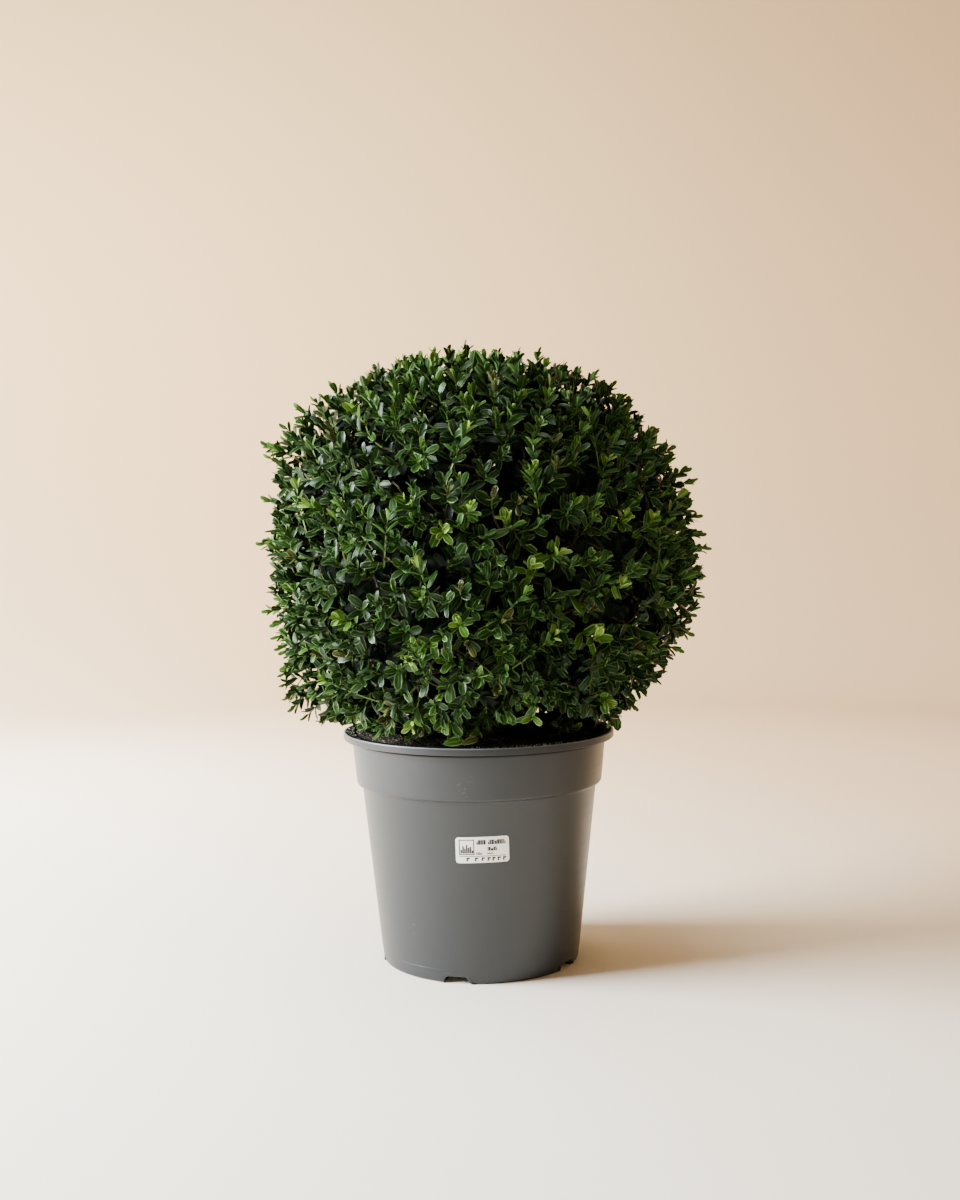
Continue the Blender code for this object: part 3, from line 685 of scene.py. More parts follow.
def inSpace(point):  # clear of the pot, the compost and the stem
    distance = math.hypot(point.x, point.y)
    past = distance > pot["rimRadius"] + crown["clear"]
    low = pot["height"] - pot["lipHeight"] if past else crown["undersideZ"]
    for azimuth, spread, overPot, pastPot in crown["clearings"]:
        away = (math.atan2(point.x, -point.y) - azimuth) / spread
        low += (pastPot if past else overPot) * math.exp(-away * away)
    clear = point.z > trunk["fork"].z or distance > trunk["radius"] + crown["clear"]
    return point.z > low and clear


def sphereDirection(index, count):
    height = 1 - 2 * (index + 0.5) / count
    turned = index * math.pi * (3 - math.sqrt(5))
    across = math.sqrt(1 - height * height)
    return Vector((across * math.cos(turned), across * math.sin(turned), height))


# Trunk and boughs: one short stem that forks low inside the crown.
trunk = {
    "flareRadius": 0.0195,
    "radius": 0.0125,
    "tipRadius": 0.0108,
    "tip": Vector((0.004, 0.001, 0.252)),
    "fork": Vector((0.006, 0.001, 0.283)),
    "flareHeight": 0.013,
    "roots": 4,
    "sides": 48,
    "rings": 60,
    "ridges": (3.2, 60, 0.07),  # how close they are around it and along it, and how proud
    "cracks": (9, 260, 0.035),
    "boughs": 11,
    "boughDepth": 0.108,
    "boughJitter": 0.1,
    "boughRadii": (0.0068, 0.0034),
    "boughSides": 16,
    "boughRings": 26,
}


def barkRelief(point, angle):  # share of the radius
    relief = 1.0
    for around, along, proud in (trunk["ridges"], trunk["cracks"]):
        place = Vector((around * math.cos(angle), around * math.sin(angle), point.z * along))
        relief += proud * noise.noise(place)
    return relief


def addLimb(bm, line, radii, sides, flare=None):  # extrudes a ring along a line of points
    ring = bmesh.ops.create_circle(bm, segments=sides, radius=1.0)["verts"]
    edges = list({edge for vert in ring for edge in vert.link_edges})
    bmesh.ops.contextual_create(bm, geom=edges)
    for step, centre in enumerate(line):
        if step:
            made = bmesh.ops.extrude_edge_only(bm, edges=edges)
            below, partner = set(ring), {}
            for vert in newest(made, bmesh.types.BMVert):
                foot = next(e.other_vert(vert) for e in vert.link_edges if e.other_vert(vert) in below)
                partner[foot] = vert
            ring = [partner[vert] for vert in ring]
            edges = newest(made, bmesh.types.BMEdge)
            edges = [edge for edge in edges if edge.verts[0] in ring and edge.verts[1] in ring]
        way = (line[min(step + 1, len(line) - 1)] - line[max(step - 1, 0)]).normalized()
        across = way.cross(Vector((0.1, 1, 0.05))).normalized()
        over = way.cross(across)
        for number, vert in enumerate(ring):
            angle = math.tau * number / sides
            radius = radii[step] * barkRelief(centre, angle) + (flare(centre.z, angle) if flare else 0)
            vert.co = centre + radius * (math.cos(angle) * across + math.sin(angle) * over)
    bmesh.ops.contextual_create(bm, geom=edges)


def rootFlare(z, angle):
    height = z - compost["top"]
    swell = max(0.0, 1 - height / trunk["flareHeight"]) ** 2 * (trunk["flareRadius"] - trunk["radius"])
    return swell * (0.6 + 0.4 * math.cos(trunk["roots"] * angle))


def bend(start, control, end, count):  # points of a quadratic curve
    return [(1 - t) ** 2 * start + 2 * t * (1 - t) * control + t * t * end for t in steps(0, 1, count)]


def makeTrunk(bark, boughEnds):
    bm = bmesh.new()
    foot = Vector((0, 0, compost["top"] - 0.0006))
    line = bend(foot, trunk["tip"], trunk["fork"], trunk["rings"])
    radii = steps(trunk["radius"], trunk["tipRadius"], len(line) + 1)
    addLimb(bm, line, radii, trunk["sides"], rootFlare)
    addPiece("trunk", meshFrom(bm, 60), [bark], "bark", "stem")
    bm = bmesh.new()
    radii = steps(*trunk["boughRadii"], trunk["boughRings"])
    for end in boughEnds:
        start = trunk["fork"] - 0.008 * up
        control = start + 0.45 * (end - start).length * up + 0.15 * (end - start)
        addLimb(bm, bend(start, control, end, trunk["boughRings"]), radii, trunk["boughSides"])
    addPiece("boughs", meshFrom(bm, 60), [bark], "bark", "foliage_ball")
    print("trunk and", len(boughEnds), "boughs")


# Growth: boughs fork to limbs, twigs, twiglets and shoots, whose ends are spread evenly under
# the outline, each level nearer to it, as the solid's twigs are.
growth = {
    "seed": 26,
    "levels": (  # name, ends, depth under the outline, radii, rings, sides
        ("limbs", 64, 0.068, (0.0030, 0.0021), 7, 6),
        ("twigs", 150, 0.048, (0.0020, 0.0014), 6, 5),
        ("twiglets", 640, 0.033, (0.0013, 0.0009), 5, 4),
    ),
    "levelJitter": 0.05,
    "shoots": 1140,
    "shootJitter": 0.035,
    "shootDepth": 0.0075,
    "shootDepthSpread": 0.0030,
    "leastDepth": 0.004,
    "shootTilt": 0.5,
    "shootVigour": (0.80, 1.14),
    "tuftSize": 0.030,  # sprays stand proud or sit back together over this distance
    "tuftDepth": 0.0075,
    "overReach": 0.008,  # how far past the outline a leaf may stand
    "shootRadii": (0.00088, 0.00058),
    "shootRings": 5,
    "shootSides": 3,
    "lift": 1.10,  # how far shoots turn up towards the light
    "liftSpread": (0.4, 1.3),
    "blunt": 0.10,  # share of shoots that the shears cut through
    "skirt": 104,  # shoots round the lower edge
    "skirtRadius": 0.158,
    "skirtSpread": (0.86, 1.08),
    "skirtZ": 0.236,
    "skirtRise": (-0.005, 0.008),
    "shootPairs": 6,  # pairs of leaves on a shoot of the outer crown
    "skirtPairs": 5,
    "skirtVigour": (0.85, 1.1),
    "hangingTilt": 0.3,
    "hangingVigour": (0.85, 1.0),
    "inner": 900,
    "innerJitter": 0.05,
    "innerDepths": (0.023, 0.042),
    "innerTilt": 0.7,
    "innerVigour": 1.12,
    "shade": 1750,
    "shadeJitter": 0.06,
    "shadeDepths": (0.036, 0.105),
    "shadeTilt": 0.6,
    "shadeVigour": 0.9,
    "shadeClear": 0.012,
    "lowShade": 330,
    "lowRadius": 0.112,
    "lowHeights": (0.252, 0.300),
    "rearShade": 210,
    "rearSpread": math.radians(88),
    "rearRadii": (0.090, 0.132),
    "rearHeights": (0.235, 0.256),
    "longShoots": 76,
    "longLength": 0.050,
    "longDepth": 0.0066,
    "longStart": 0.030,  # how far inside the outline they leave their twig
    "longVigour": 0.95,
    "strayPairs": 4,
    "strayVigour": 0.85,
    "lowShadedStrays": 0.270,  # strays below this height are old wood in dull leaf, painted dark as painted shade
}
# Dark hollows between sprays, where the shears never reach: azimuth, height, radius.
hollows = radianRows(
    1, (-2, 0.497, 0.015), (-31, 0.364, 0.013), (38, 0.345, 0.014), (27, 0.286, 0.012),
    (-13, 0.292, 0.010), (52, 0.430, 0.013), (-56, 0.452, 0.011), (20, 0.402, 0.010),
)
looseHollows = {"count": 80, "radii": (0.009, 0.017)}
# Where growth is thin: azimuth and its spread, lowest and highest end, share that is missing.
thinPlaces = radianRows(
    2, (-92, 56, 0.285, 0.530, 0.17), (-98, 38, 0.225, 0.285, 0.27), (86, 40, 0.225, 0.345, 0.32),
)
# Where most sprays are old and dull, painted dark low on the crown as painted shade: azimuth and its spread,
# the highest end, tones and stem.
lowShadePlaces = radianRows(
    2, (-100, 42, 0.272, ("olive", "deep", "brown")), (72, 50, 0.310, ("deep", "deep", "green")),
)
lowShadeShare = 0.65
# Painted shade: on the left, where the key light falls, most sprays are painted a tone darker.
paintedShadeSide = {"reach": -0.07, "share": 0.85}
darker = {"fresh": "young", "young": "mid", "mid": "deep", "deep": "deep", "olive": "olive"}
# Shoots that hang over the compost at the front: azimuth, distance, height.
hanging = radianRows(
    1, (-33, 0.116, 0.2370), (-25, 0.121, 0.2345), (-17, 0.114, 0.2380), (-11, 0.121, 0.2335),
    (-5, 0.112, 0.2370), (-2, 0.119, 0.2350), (3, 0.113, 0.2400), (6, 0.105, 0.2420),
)
# Leaves that lie on the rim: azimuth, heading, distance, height, droop, length, tone.
rimLeaves = radianRows(
    2, (-15, 94, 0.1215, 0.2238, -0.22, 0.0185, "young"), (-7, 100, 0.1225, 0.2240, -0.35, 0.0150, "olive"),
    (82, 4, 0.1290, 0.2395, 3.00, 0.0215, "deep"), (77, -12, 0.1290, 0.2370, 2.60, 0.0160, "mid"),
    (70, -30, 0.1270, 0.2390, 0.90, 0.0150, "mid"), (-52, 20, 0.1160, 0.2290, 0.35, 0.0150, "mid"),
)
# Shoots that the shears missed: where their tips stand.
strayTips = (
    (-0.0086, -0.010, 0.5936), (0.0630, -0.030, 0.5830), (0.0430, -0.020, 0.5850),
    (-0.0510, -0.030, 0.5810), (-0.0700, 0.010, 0.5835), (-0.1385, -0.020, 0.5545),
    (-0.1660, 0.000, 0.5310), (-0.2042, -0.015, 0.4990), (-0.2030, -0.030, 0.4460),
    (-0.2100, -0.020, 0.4024), (-0.2074, -0.010, 0.3359), (-0.1890, -0.030, 0.2970),
    (-0.1900, -0.020, 0.2640), (-0.1850, -0.035, 0.2530), (-0.1870, 0.020, 0.2480),
    (-0.1790, -0.045, 0.2440), (-0.1660, -0.050, 0.2360), (-0.1500, -0.060, 0.2320),
    (0.0990, -0.010, 0.5670), (0.1470, -0.020, 0.5370), (0.1780, 0.010, 0.5070),
    (0.2130, -0.010, 0.4580), (0.2200, 0.010, 0.4240), (0.2255, -0.010, 0.3923),
    (0.2235, 0.020, 0.3440), (0.2080, -0.015, 0.3090), (0.1505, -0.040, 0.2400),
    (0.1330, -0.060, 0.2310), (-0.1180, 0.015, 0.5600), (-0.1440, 0.020, 0.5460),
    (-0.1540, -0.030, 0.5400), (-0.1700, -0.030, 0.5330), (-0.1765, 0.015, 0.5240),
    (-0.1830, -0.035, 0.5140), (-0.1905, 0.020, 0.5060), (-0.2060, 0.010, 0.4880),
    (-0.1950, -0.030, 0.4960), (0.1050, 0.020, 0.5700), (0.1165, -0.030, 0.5620),
    (0.1270, 0.020, 0.5570), (0.1345, -0.015, 0.5525), (0.1480, 0.025, 0.5440),
    (0.2170, -0.020, 0.3660), (0.2190, -0.020, 0.4060), (0.2160, 0.020, 0.3250),
    (0.2110, 0.020, 0.4700), (0.0400, 0.2140, 0.4100), (-0.0700, 0.2050, 0.3500),
    (-0.2030, 0.010, 0.3210), (-0.1960, -0.030, 0.3110), (-0.1945, -0.020, 0.3000),
    (-0.1910, 0.015, 0.2900), (-0.1880, -0.030, 0.2820), (-0.1930, -0.010, 0.2730),
    (0.1935, 0.010, 0.4830), (0.1900, -0.020, 0.4900), (0.2030, 0.015, 0.4650),
    (0.2110, 0.010, 0.3590), (0.1920, -0.010, 0.3010), (0.2000, 0.000, 0.2920),
    (0.1780, 0.010, 0.2820),
)


def evenEnds(count, depth, jitter, draw):  # ends and ways spread evenly under the outline
    ends = []
    for index in range(count):
        way = (sphereDirection(index, count) + jolt(draw, jitter)).normalized()
        end = outlinePoint(way) - depth * way
        if inSpace(end):
            ends.append((end, way))
    return ends


def nearestParent(point, parents):  # the parent end that a branch would leave from
    return min(range(len(parents)), key=lambda index: (parents[index] - point).length_squared)


def growLevels(boughEnds, draw):
    # Each level's branches start at the nearest end of the one before, and leave along its way.
    parents, parentWays = list(boughEnds), [(end - trunk["fork"]).normalized() for end in boughEnds]
    tubes, forks = {}, {}
    for name, count, depth, radii, rings, sides in growth["levels"]:
        ends = [end for end, _ in evenEnds(count, depth, growth["levelJitter"], draw)]
        lines, ways = [], []
        for end in ends:
            nearest = nearestParent(end, parents)
            start, startWay = parents[nearest], parentWays[nearest]
            control = start + 0.4 * (end - start).length * startWay
            lines.append(bend(start - 0.002 * startWay, control, end, rings))
            ways.append((end - control).normalized())
        tubes[name] = (lines, [steps(*radii, rings)] * len(lines), sides)
        parents, parentWays = ends, ways
        forks[name] = (parents, parentWays)
    return tubes, forks


# Leaves: oval, round-tipped, slightly cupped, thin as card, in opposite pairs.
leaf = {
    "thickness": 0.026,
    "fold": 0.045,  # how far the two halves rise from the midrib
    "shapes": (  # curl along the leaf, cup across it, width over length
        (0.10, 0.05, 0.45), (0.17, -0.05, 0.42), (0.04, 0.08, 0.48),
        (0.24, 0.03, 0.40), (-0.07, 0.07, 0.44), (0.13, 0.00, 0.50),
    ),
    "meshes": {"fine": (6, 5), "plain": (4, 4), "shade": (4, 3)},  # sides and rings
    "sections": {  # points round the leaf: across and over, as shares of its width and thickness
        4: ((0, -1), (1, 0), (0, 0.6), (-1, 0)),
        6: ((0, -1), (1, 0), (0.81, 0.6), (0, 0.5), (-0.81, 0.6), (-1, 0)),
    },
    "pairs": (  # from the tip back: length, degrees from the stem, gap to the pair before
        (0.0086, 13, 0.0014), (0.0130, 28, 0.0048), (0.0162, 40, 0.0066),
        (0.0178, 48, 0.0072), (0.0184, 54, 0.0076), (0.0180, 59, 0.0078),
    ),
    "innerPairs": 4,
    "shadeLength": 0.0245,
    "shadeSpread": 68,
    "shortest": 0.0052,
    "strayReach": 0.0095,
    "tilt": 14,  # degrees that a leaf may roll about its own midrib
    "finePairs": 3,  # pairs next to the tip that get the finer mesh
    "sharpAngle": 62,
    "mostTriangles": 185000,
}


def leafWidth(x):  # half the width at a share of the length, 1 at the widest
    return x ** 0.70 * max(0.0, 1 - x) ** 0.40 / 0.4863


def leafShape(sides, rings, curl, cup):
    # a unit leaf: root at the origin, tip at x = 1, half width 1 along y, upper side +z
    bm = bmesh.new()
    bmesh.ops.create_uvsphere(bm, u_segments=sides, v_segments=rings, radius=1.0)
    for vert in bm.verts:
        x = (1 - vert.co.z) / 2
        wide = leafWidth(max(0.0, x))
        side = math.floor(math.atan2(vert.co.y, vert.co.x) / math.tau * sides + 0.25) % sides
        across, over = leaf["sections"][sides][side] if wide > 1e-4 else (0, 0)
        y = across * wide
        lift = cup * y * y + leaf["fold"] * abs(y)
        vert.co = (x, y, over * leaf["thickness"] - curl * x * x + lift)
    for face in turnOut(bm).faces:
        widest = max(abs(vert.co.y) for vert in face.verts)
        rim = sides == 6 and abs(face.calc_center_median().y) > 0.55 * widest
        face.material_index = (2 if rim else 0) if face.normal.z > 0 else 1
    return templateOf(bm)


leafTemplates = {
    kind: [leafShape(sides, rings, curl, cup) for curl, cup, _ in leaf["shapes"]]
    for kind, (sides, rings) in leaf["meshes"].items()
}
beds = {}  # (tone, kind) to the placed leaves' points
sprayKinds = (  # share, youngest pair's tone, the others' tone, stem
    (0.46, "mid", "deep", "green"),
    (0.28, "young", "mid", "green"),
    (0.11, "fresh", "young", "pale"),
    (0.10, "olive", "deep", "green"),
    (0.05, "deep", "deep", "green"),
)


def pickSpray(draw):
    chosen = draw.random()
    for share, *spray in sprayKinds:
        if chosen < share:
            return spray
        chosen -= share
    return sprayKinds[0][1:]


def placeLeaf(root, way, face, length, tone, kind, draw, free=False):
    # shortens or turns a leaf until it stays inside the outline; a free one may stand past it
    def outside(tip):
        return not free and fullness(tip, -growth["overReach"]) > 1

    for _ in range(4):
        while length > leaf["shortest"] and outside(root + length * way):
            length *= 0.88
        tip = root + length * way
        if length >= leaf["shortest"] * 0.8 and inSpace(tip) and not outside(tip):
            break
        way = (way + jolt(draw, 0.4) + 0.15 * up).normalized()
    else:
        return
    number = draw.randrange(len(leaf["shapes"]))
    width = length * leaf["shapes"][number][2] * draw.uniform(0.9, 1.1)
    side = way.cross(face).normalized()
    side.rotate(Matrix.Rotation(math.radians(draw.gauss(0, leaf["tilt"])), 3, way))
    over = side.cross(way).normalized()
    axes = np.array((length * way, -width / 2 * side, length * over))
    points = leafTemplates[kind][number][0] @ axes + np.array(root)
    beds.setdefault((tone, kind), []).append(points)


def growLeaves(line, pairs, young, old, vigour, fine, blunt, free, draw):
    # pairs of leaves from the tip back along a shoot, each pair square to the last
    spans = [(b - a).length for a, b in zip(line, line[1:])]
    back, turned = 0.0, draw.uniform(0, math.tau)
    fineOnes = leaf["finePairs"] + (2 if blunt else 0) if fine else 0
    for number, (length, spread, gap) in enumerate(leaf["pairs"][:pairs]):
        back += gap * vigour * draw.uniform(0.85, 1.15)
        left, index = back, len(spans) - 1
        while index > 0 and left > spans[index]:
            left -= spans[index]
            index -= 1
        if left > spans[index]:
            return
        way = (line[index + 1] - line[index]).normalized()
        root = line[index + 1] - left * way
        turned += math.pi / 2 + draw.uniform(-0.2, 0.2)
        across = way.orthogonal().normalized()
        across.rotate(Matrix.Rotation(turned, 3, way))
        if blunt and number < 2:
            continue
        for sign in (1, -1):
            angle = math.radians(spread + draw.gauss(0, 8))
            leafWay = (math.cos(angle) * way + sign * math.sin(angle) * across).normalized()
            face = way - way.dot(leafWay) * leafWay + 0.25 * up
            size = length * vigour * draw.uniform(0.86, 1.12)
            placeLeaf(root - 0.0003 * leafWay, leafWay, face, size, young if number < 2 else old,
                      "fine" if number < fineOnes else "plain", draw, free)


def bearingGap(point, azimuth):  # angle between a point's azimuth and another
    return abs(turnFrom(math.atan2(point.x, -point.y), azimuth))


def missing(point, draw):  # nothing grows here, in a thin place
    for azimuth, spread, low, high, share in thinPlaces:
        if low < point.z < high and bearingGap(point, azimuth) < spread and draw.random() < share:
            return True
    return False


def sprayAt(point, draw):
    # painted shade low on the crown: old, dull, dark tones
    for azimuth, spread, high, spray in lowShadePlaces:
        if point.z < high and bearingGap(point, azimuth) < spread and draw.random() < lowShadeShare:
            return spray
    young, old, stem = pickSpray(draw)
    # painted shade on the lit left side: a tone darker
    if point.x < paintedShadeSide["reach"] and draw.random() < paintedShadeSide["share"]:
        young, old = darker[young], darker[old]
    return young, old, stem


def hollowPlaces(draw):
    places = []
    for azimuth, z, radius in hollows:
        way = (bearing(azimuth, crown["radius"] * 0.9, z) - middle).normalized()
        places.append((outlinePoint(way), radius))
    for _ in range(looseHollows["count"]):
        way = Vector((draw.gauss(0, 1), draw.gauss(0, 1), draw.gauss(0, 1))).normalized()
        places.append((outlinePoint(way), draw.uniform(*looseHollows["radii"])))
    return places


def inHollow(point, places):
    return any((point - centre).length < radius for centre, radius in places)


def growCrown(bark, boughEnds):
    draw = random.Random(growth["seed"])
    tubes, forks = growLevels(boughEnds, draw)
    places = hollowPlaces(draw)
    stems = {"brown": [], "green": [], "pale": []}
    taper = steps(*growth["shootRadii"], growth["shootRings"])

    def shoot(end, way, pairs, fine, vigour, spray=None, blunt=False, start=None,
              level="twiglets", free=False):
        parents, parentWays = forks[level]
        nearest = nearestParent(end, parents)
        source, sourceWay = parents[nearest] if start is None else start, parentWays[nearest]
        control = end - 0.55 * (end - source).length * way
        line = bend(source - 0.001 * sourceWay, control, end, growth["shootRings"])
        young, old, stem = spray or sprayAt(end, draw)
        stems[stem if fine else "brown"].append((line, [radius * vigour for radius in taper]))
        if level == "twiglets":
            growLeaves(line, pairs, young, old, vigour, fine, blunt, free, draw)
        return line

    growShoots(shoot, places, draw)
    growSkirt(shoot, draw)
    growInner(shoot, places, draw)
    growShade(shoot, draw)
    growRimLeaves(draw)
    growLongShoots(shoot, draw)
    growStrays(shoot, draw)
    makeTwigs(tubes, stems, bark)
    makeLeafPieces()


def growShoots(shoot, places, draw):
    for end, way in evenEnds(growth["shoots"], 0.0, growth["shootJitter"], draw):
        if inHollow(end, places) or missing(end, draw):
            continue
        tuft = noise.noise(end / growth["tuftSize"]) * growth["tuftDepth"]
        depth = growth["shootDepth"] + draw.gauss(0, growth["shootDepthSpread"]) + tuft
        end = end - max(growth["leastDepth"], depth) * way
        if not inSpace(end):
            continue
        tilt = jolt(draw, growth["shootTilt"])
        level = math.sqrt(max(0.0, 1 - way.z * way.z))
        lift = growth["lift"] * level * draw.uniform(*growth["liftSpread"]) * up
        blunt = draw.random() < growth["blunt"]
        vigour = draw.uniform(*growth["shootVigour"])
        shoot(end, (way + tilt + lift).normalized(), growth["shootPairs"], True, vigour, blunt=blunt)


def growSkirt(shoot, draw):  # shoots round the lower edge, and the ones that hang over the compost
    for index in range(growth["skirt"]):
        azimuth = math.tau * (index + draw.uniform(-0.4, 0.4)) / growth["skirt"]
        radius = growth["skirtRadius"] * draw.uniform(*growth["skirtSpread"])
        end = bearing(azimuth, radius, growth["skirtZ"] + draw.uniform(*growth["skirtRise"]))
        end.x += bow(end.z)
        if inSpace(end) and fullness(end, 0.004) < 1 and not missing(end, draw):
            way = ((end - middle).normalized() + jolt(draw, growth["shootTilt"])).normalized()
            shoot(end, way, growth["skirtPairs"], True, draw.uniform(*growth["skirtVigour"]))
    for azimuth, distance, z in hanging:
        end = bearing(azimuth, distance, z)
        if inSpace(end):
            way = (bearing(azimuth, 1, 0) + jolt(draw, growth["hangingTilt"])).normalized()
            shoot(end, way, growth["skirtPairs"], True, draw.uniform(*growth["hangingVigour"]))


# painted shade: inner and shade leaves take the near-black shade tone
shadeSpray = ("shade", "shade", "green")


def growInner(shoot, places, draw):
    for end, way in evenEnds(growth["inner"], 0.0, growth["innerJitter"], draw):
        if inHollow(end, places) or missing(end, draw):
            continue
        end = end - draw.uniform(*growth["innerDepths"]) * way
        if inSpace(end):
            way = (way + jolt(draw, growth["innerTilt"])).normalized()
            shoot(end, way, leaf["innerPairs"], False, growth["innerVigour"], shadeSpray)


def shadeSpots(draw):
    spots = []
    for end, way in evenEnds(growth["shade"], 0.0, growth["shadeJitter"], draw):
        spots.append((end - draw.uniform(*growth["shadeDepths"]) * way, way))
    for _ in range(growth["lowShade"]):  # the flat underside
        distance = growth["lowRadius"] * math.sqrt(draw.random())
        spot = bearing(draw.uniform(0, math.tau), distance, draw.uniform(*growth["lowHeights"]))
        spots.append((spot, (spot - middle).normalized()))
    for _ in range(growth["rearShade"]):  # low twigs at the back, which close it against the light
        azimuth = math.pi + draw.uniform(-1, 1) * growth["rearSpread"]
        spot = bearing(azimuth, draw.uniform(*growth["rearRadii"]), draw.uniform(*growth["rearHeights"]))
        spots.append((spot, (spot - middle).normalized()))
    return spots


def growShade(shoot, draw):
    # old, large leaves on the twigs inside, which close the crown against the light; their near-black tone
    # is painted shade
    for end, way in shadeSpots(draw):
        if not inSpace(end - growth["shadeClear"] * way) or missing(end, draw):
            continue
        way = (way + jolt(draw, growth["shadeTilt"])).normalized()
        line = shoot(end, way, 0, False, growth["shadeVigour"], shadeSpray, level="twigs")
        stemWay = (line[-1] - line[-2]).normalized()
        across = stemWay.orthogonal().normalized()
        across.rotate(Matrix.Rotation(draw.uniform(0, math.tau), 3, stemWay))
        for number in range(4):
            angle = math.radians(leaf["shadeSpread"] + draw.uniform(-14, 14))
            leafWay = (math.cos(angle) * stemWay + math.sin(angle) * across).normalized()
            face = stemWay - stemWay.dot(leafWay) * leafWay
            length = leaf["shadeLength"] * draw.uniform(0.85, 1.15)
            placeLeaf(line[-1] - 0.001 * number * stemWay, leafWay, face, length, "shade", "shade", draw)
            across.rotate(Matrix.Rotation(math.pi / 2, 3, stemWay))


def growRimLeaves(draw):  # fallen or bent leaves that lie on the rim
    for azimuth, heading, distance, z, droop, length, tone in rimLeaves:
        out = bearing(azimuth, 1, 0)
        way = (math.cos(heading) * out + math.sin(heading) * up.cross(out) - droop * up).normalized()
        root, over = bearing(azimuth, distance, z), Vector((0.2, -0.8, 0.8))
        placeLeaf(root, way, over, length, tone, "fine", draw, True)


def growLongShoots(shoot, draw):
    # vigorous shoots that lie along the clipped face, pale stems showing between their pairs
    for index in range(growth["longShoots"]):
        way = (sphereDirection(index, growth["longShoots"]) + jolt(draw, 0.25)).normalized()
        surface = outlinePoint(way)
        rise = up - up.dot(way) * way
        lean = (rise + draw.uniform(-0.9, 0.9) * way.cross(rise)).normalized()
        half = 0.5 * growth["longLength"] * lean
        end = outlinePoint((surface + half - middle).normalized())
        end = end - growth["longDepth"] * (end - middle).normalized()
        start = surface - half - growth["longStart"] * way
        if inSpace(end) and inSpace(start):
            spray = ("fresh" if index % 3 == 0 else "young", "mid", "pale")
            way, pairs = (lean + 0.35 * way).normalized(), growth["shootPairs"]
            shoot(end, way, pairs, True, growth["longVigour"], spray, start=start)


def growStrays(shoot, draw):
    for place in strayTips:
        tip = Vector(place)
        way = (tip - middle).normalized()
        end = tip - leaf["strayReach"] * way
        # low strays take dull, dark tones: painted shade
        spray = ("young", "mid", "green") if tip.z > growth["lowShadedStrays"] else ("olive", "deep", "green")
        line = shoot(end, way, growth["strayPairs"], True, growth["strayVigour"], spray, free=True)
        face = Vector((0.2, -0.4, 1)).cross(way)
        placeLeaf(line[-1] - 0.0004 * way, way, face, leaf["strayReach"] * 0.99, "young", "fine", draw, True)


def makeBark():
    # Old box wood: thin corky bark, grey-brown and matt, finely cracked along the limb, with
    # cracks 1.5 mm apart and 12 mm long.
    return makeTwoTone(
        "corkyBark", "#1d160f", "#473a2d", {"Scale": 1.0, "Detail": 5.0, "Roughness": 0.6},
        {"Roughness": 0.86}, relief=(0.7, 0.0007), stretch=(650, 650, 80),
    )


def makeStemFinish(name, dark, light):
    # Green wood of this year: smooth and a little waxy, paler than the leaves, and its tone
    # changes every 10 mm.
    return makeTwoTone(name, dark, light, {"Scale": 100.0, "Detail": 1.0}, {"Roughness": 0.5, "IOR": 1.45})


def makeTwigs(tubes, stems, bark):
    young = makeStemFinish("youngTwig", "#30301c", "#4c4a2c")
    green = makeStemFinish("greenStem", "#486424", "#648238")
    pale = makeStemFinish("paleStem", "#4c6628", "#6a8640")
    for name, (lines, radii, sides) in tubes.items():
        finish = young if name == "twiglets" else bark
        addPiece(name, joinedTubes(lines, radii, sides), [finish], "bark", "foliage_ball")
    for (name, found), finish in zip(stems.items(), (young, green, pale)):
        mesh = joinedTubes(*zip(*found), growth["shootSides"], 80)
        addPiece(name + "Stems", mesh, [finish], "bark", "foliage_ball")
    print("twigs:", sum(len(lines) for lines, _, _ in tubes.values()), "and",
          sum(len(found) for found in stems.values()), "shoots")


leafTones = {  # upper side's darkest and palest, midrib and margin (the margin's paleness partly a painted highlight), underside
    # the shade tone is near black: painted shade for leaves deep inside the crown
    "shade": ("#060f04", "#0a1607", "#1a2911", "#0d1a0a"),
    "deep": ("#0a1e07", "#152c0d", "#54703e", "#1a2c17"),
    "mid": ("#112b0b", "#204112", "#6b8b4e", "#22391c"),
    "young": ("#234611", "#375d1a", "#8ba860", "#335024"),
    "fresh": ("#486922", "#658732", "#a9c370", "#577633"),
    "olive": ("#242b10", "#393f1a", "#858c5c", "#343e20"),
}


def startLeaf(name, tone, values):
    # also gives a point's place along its leaf, across it from the midrib, and one chance value a leaf
    made, tree, shader = startMaterial(name + tone.capitalize(), values)
    place = addNode(tree, "Attribute", attribute_name="leafPlace").outputs["Vector"]
    along, side, chance = addNode(tree, "SeparateXYZ", {"Vector": place}).outputs
    across = addNode(tree, "Math", {0: side}, operation="ABSOLUTE")
    return made, tree, shader, along, across, chance


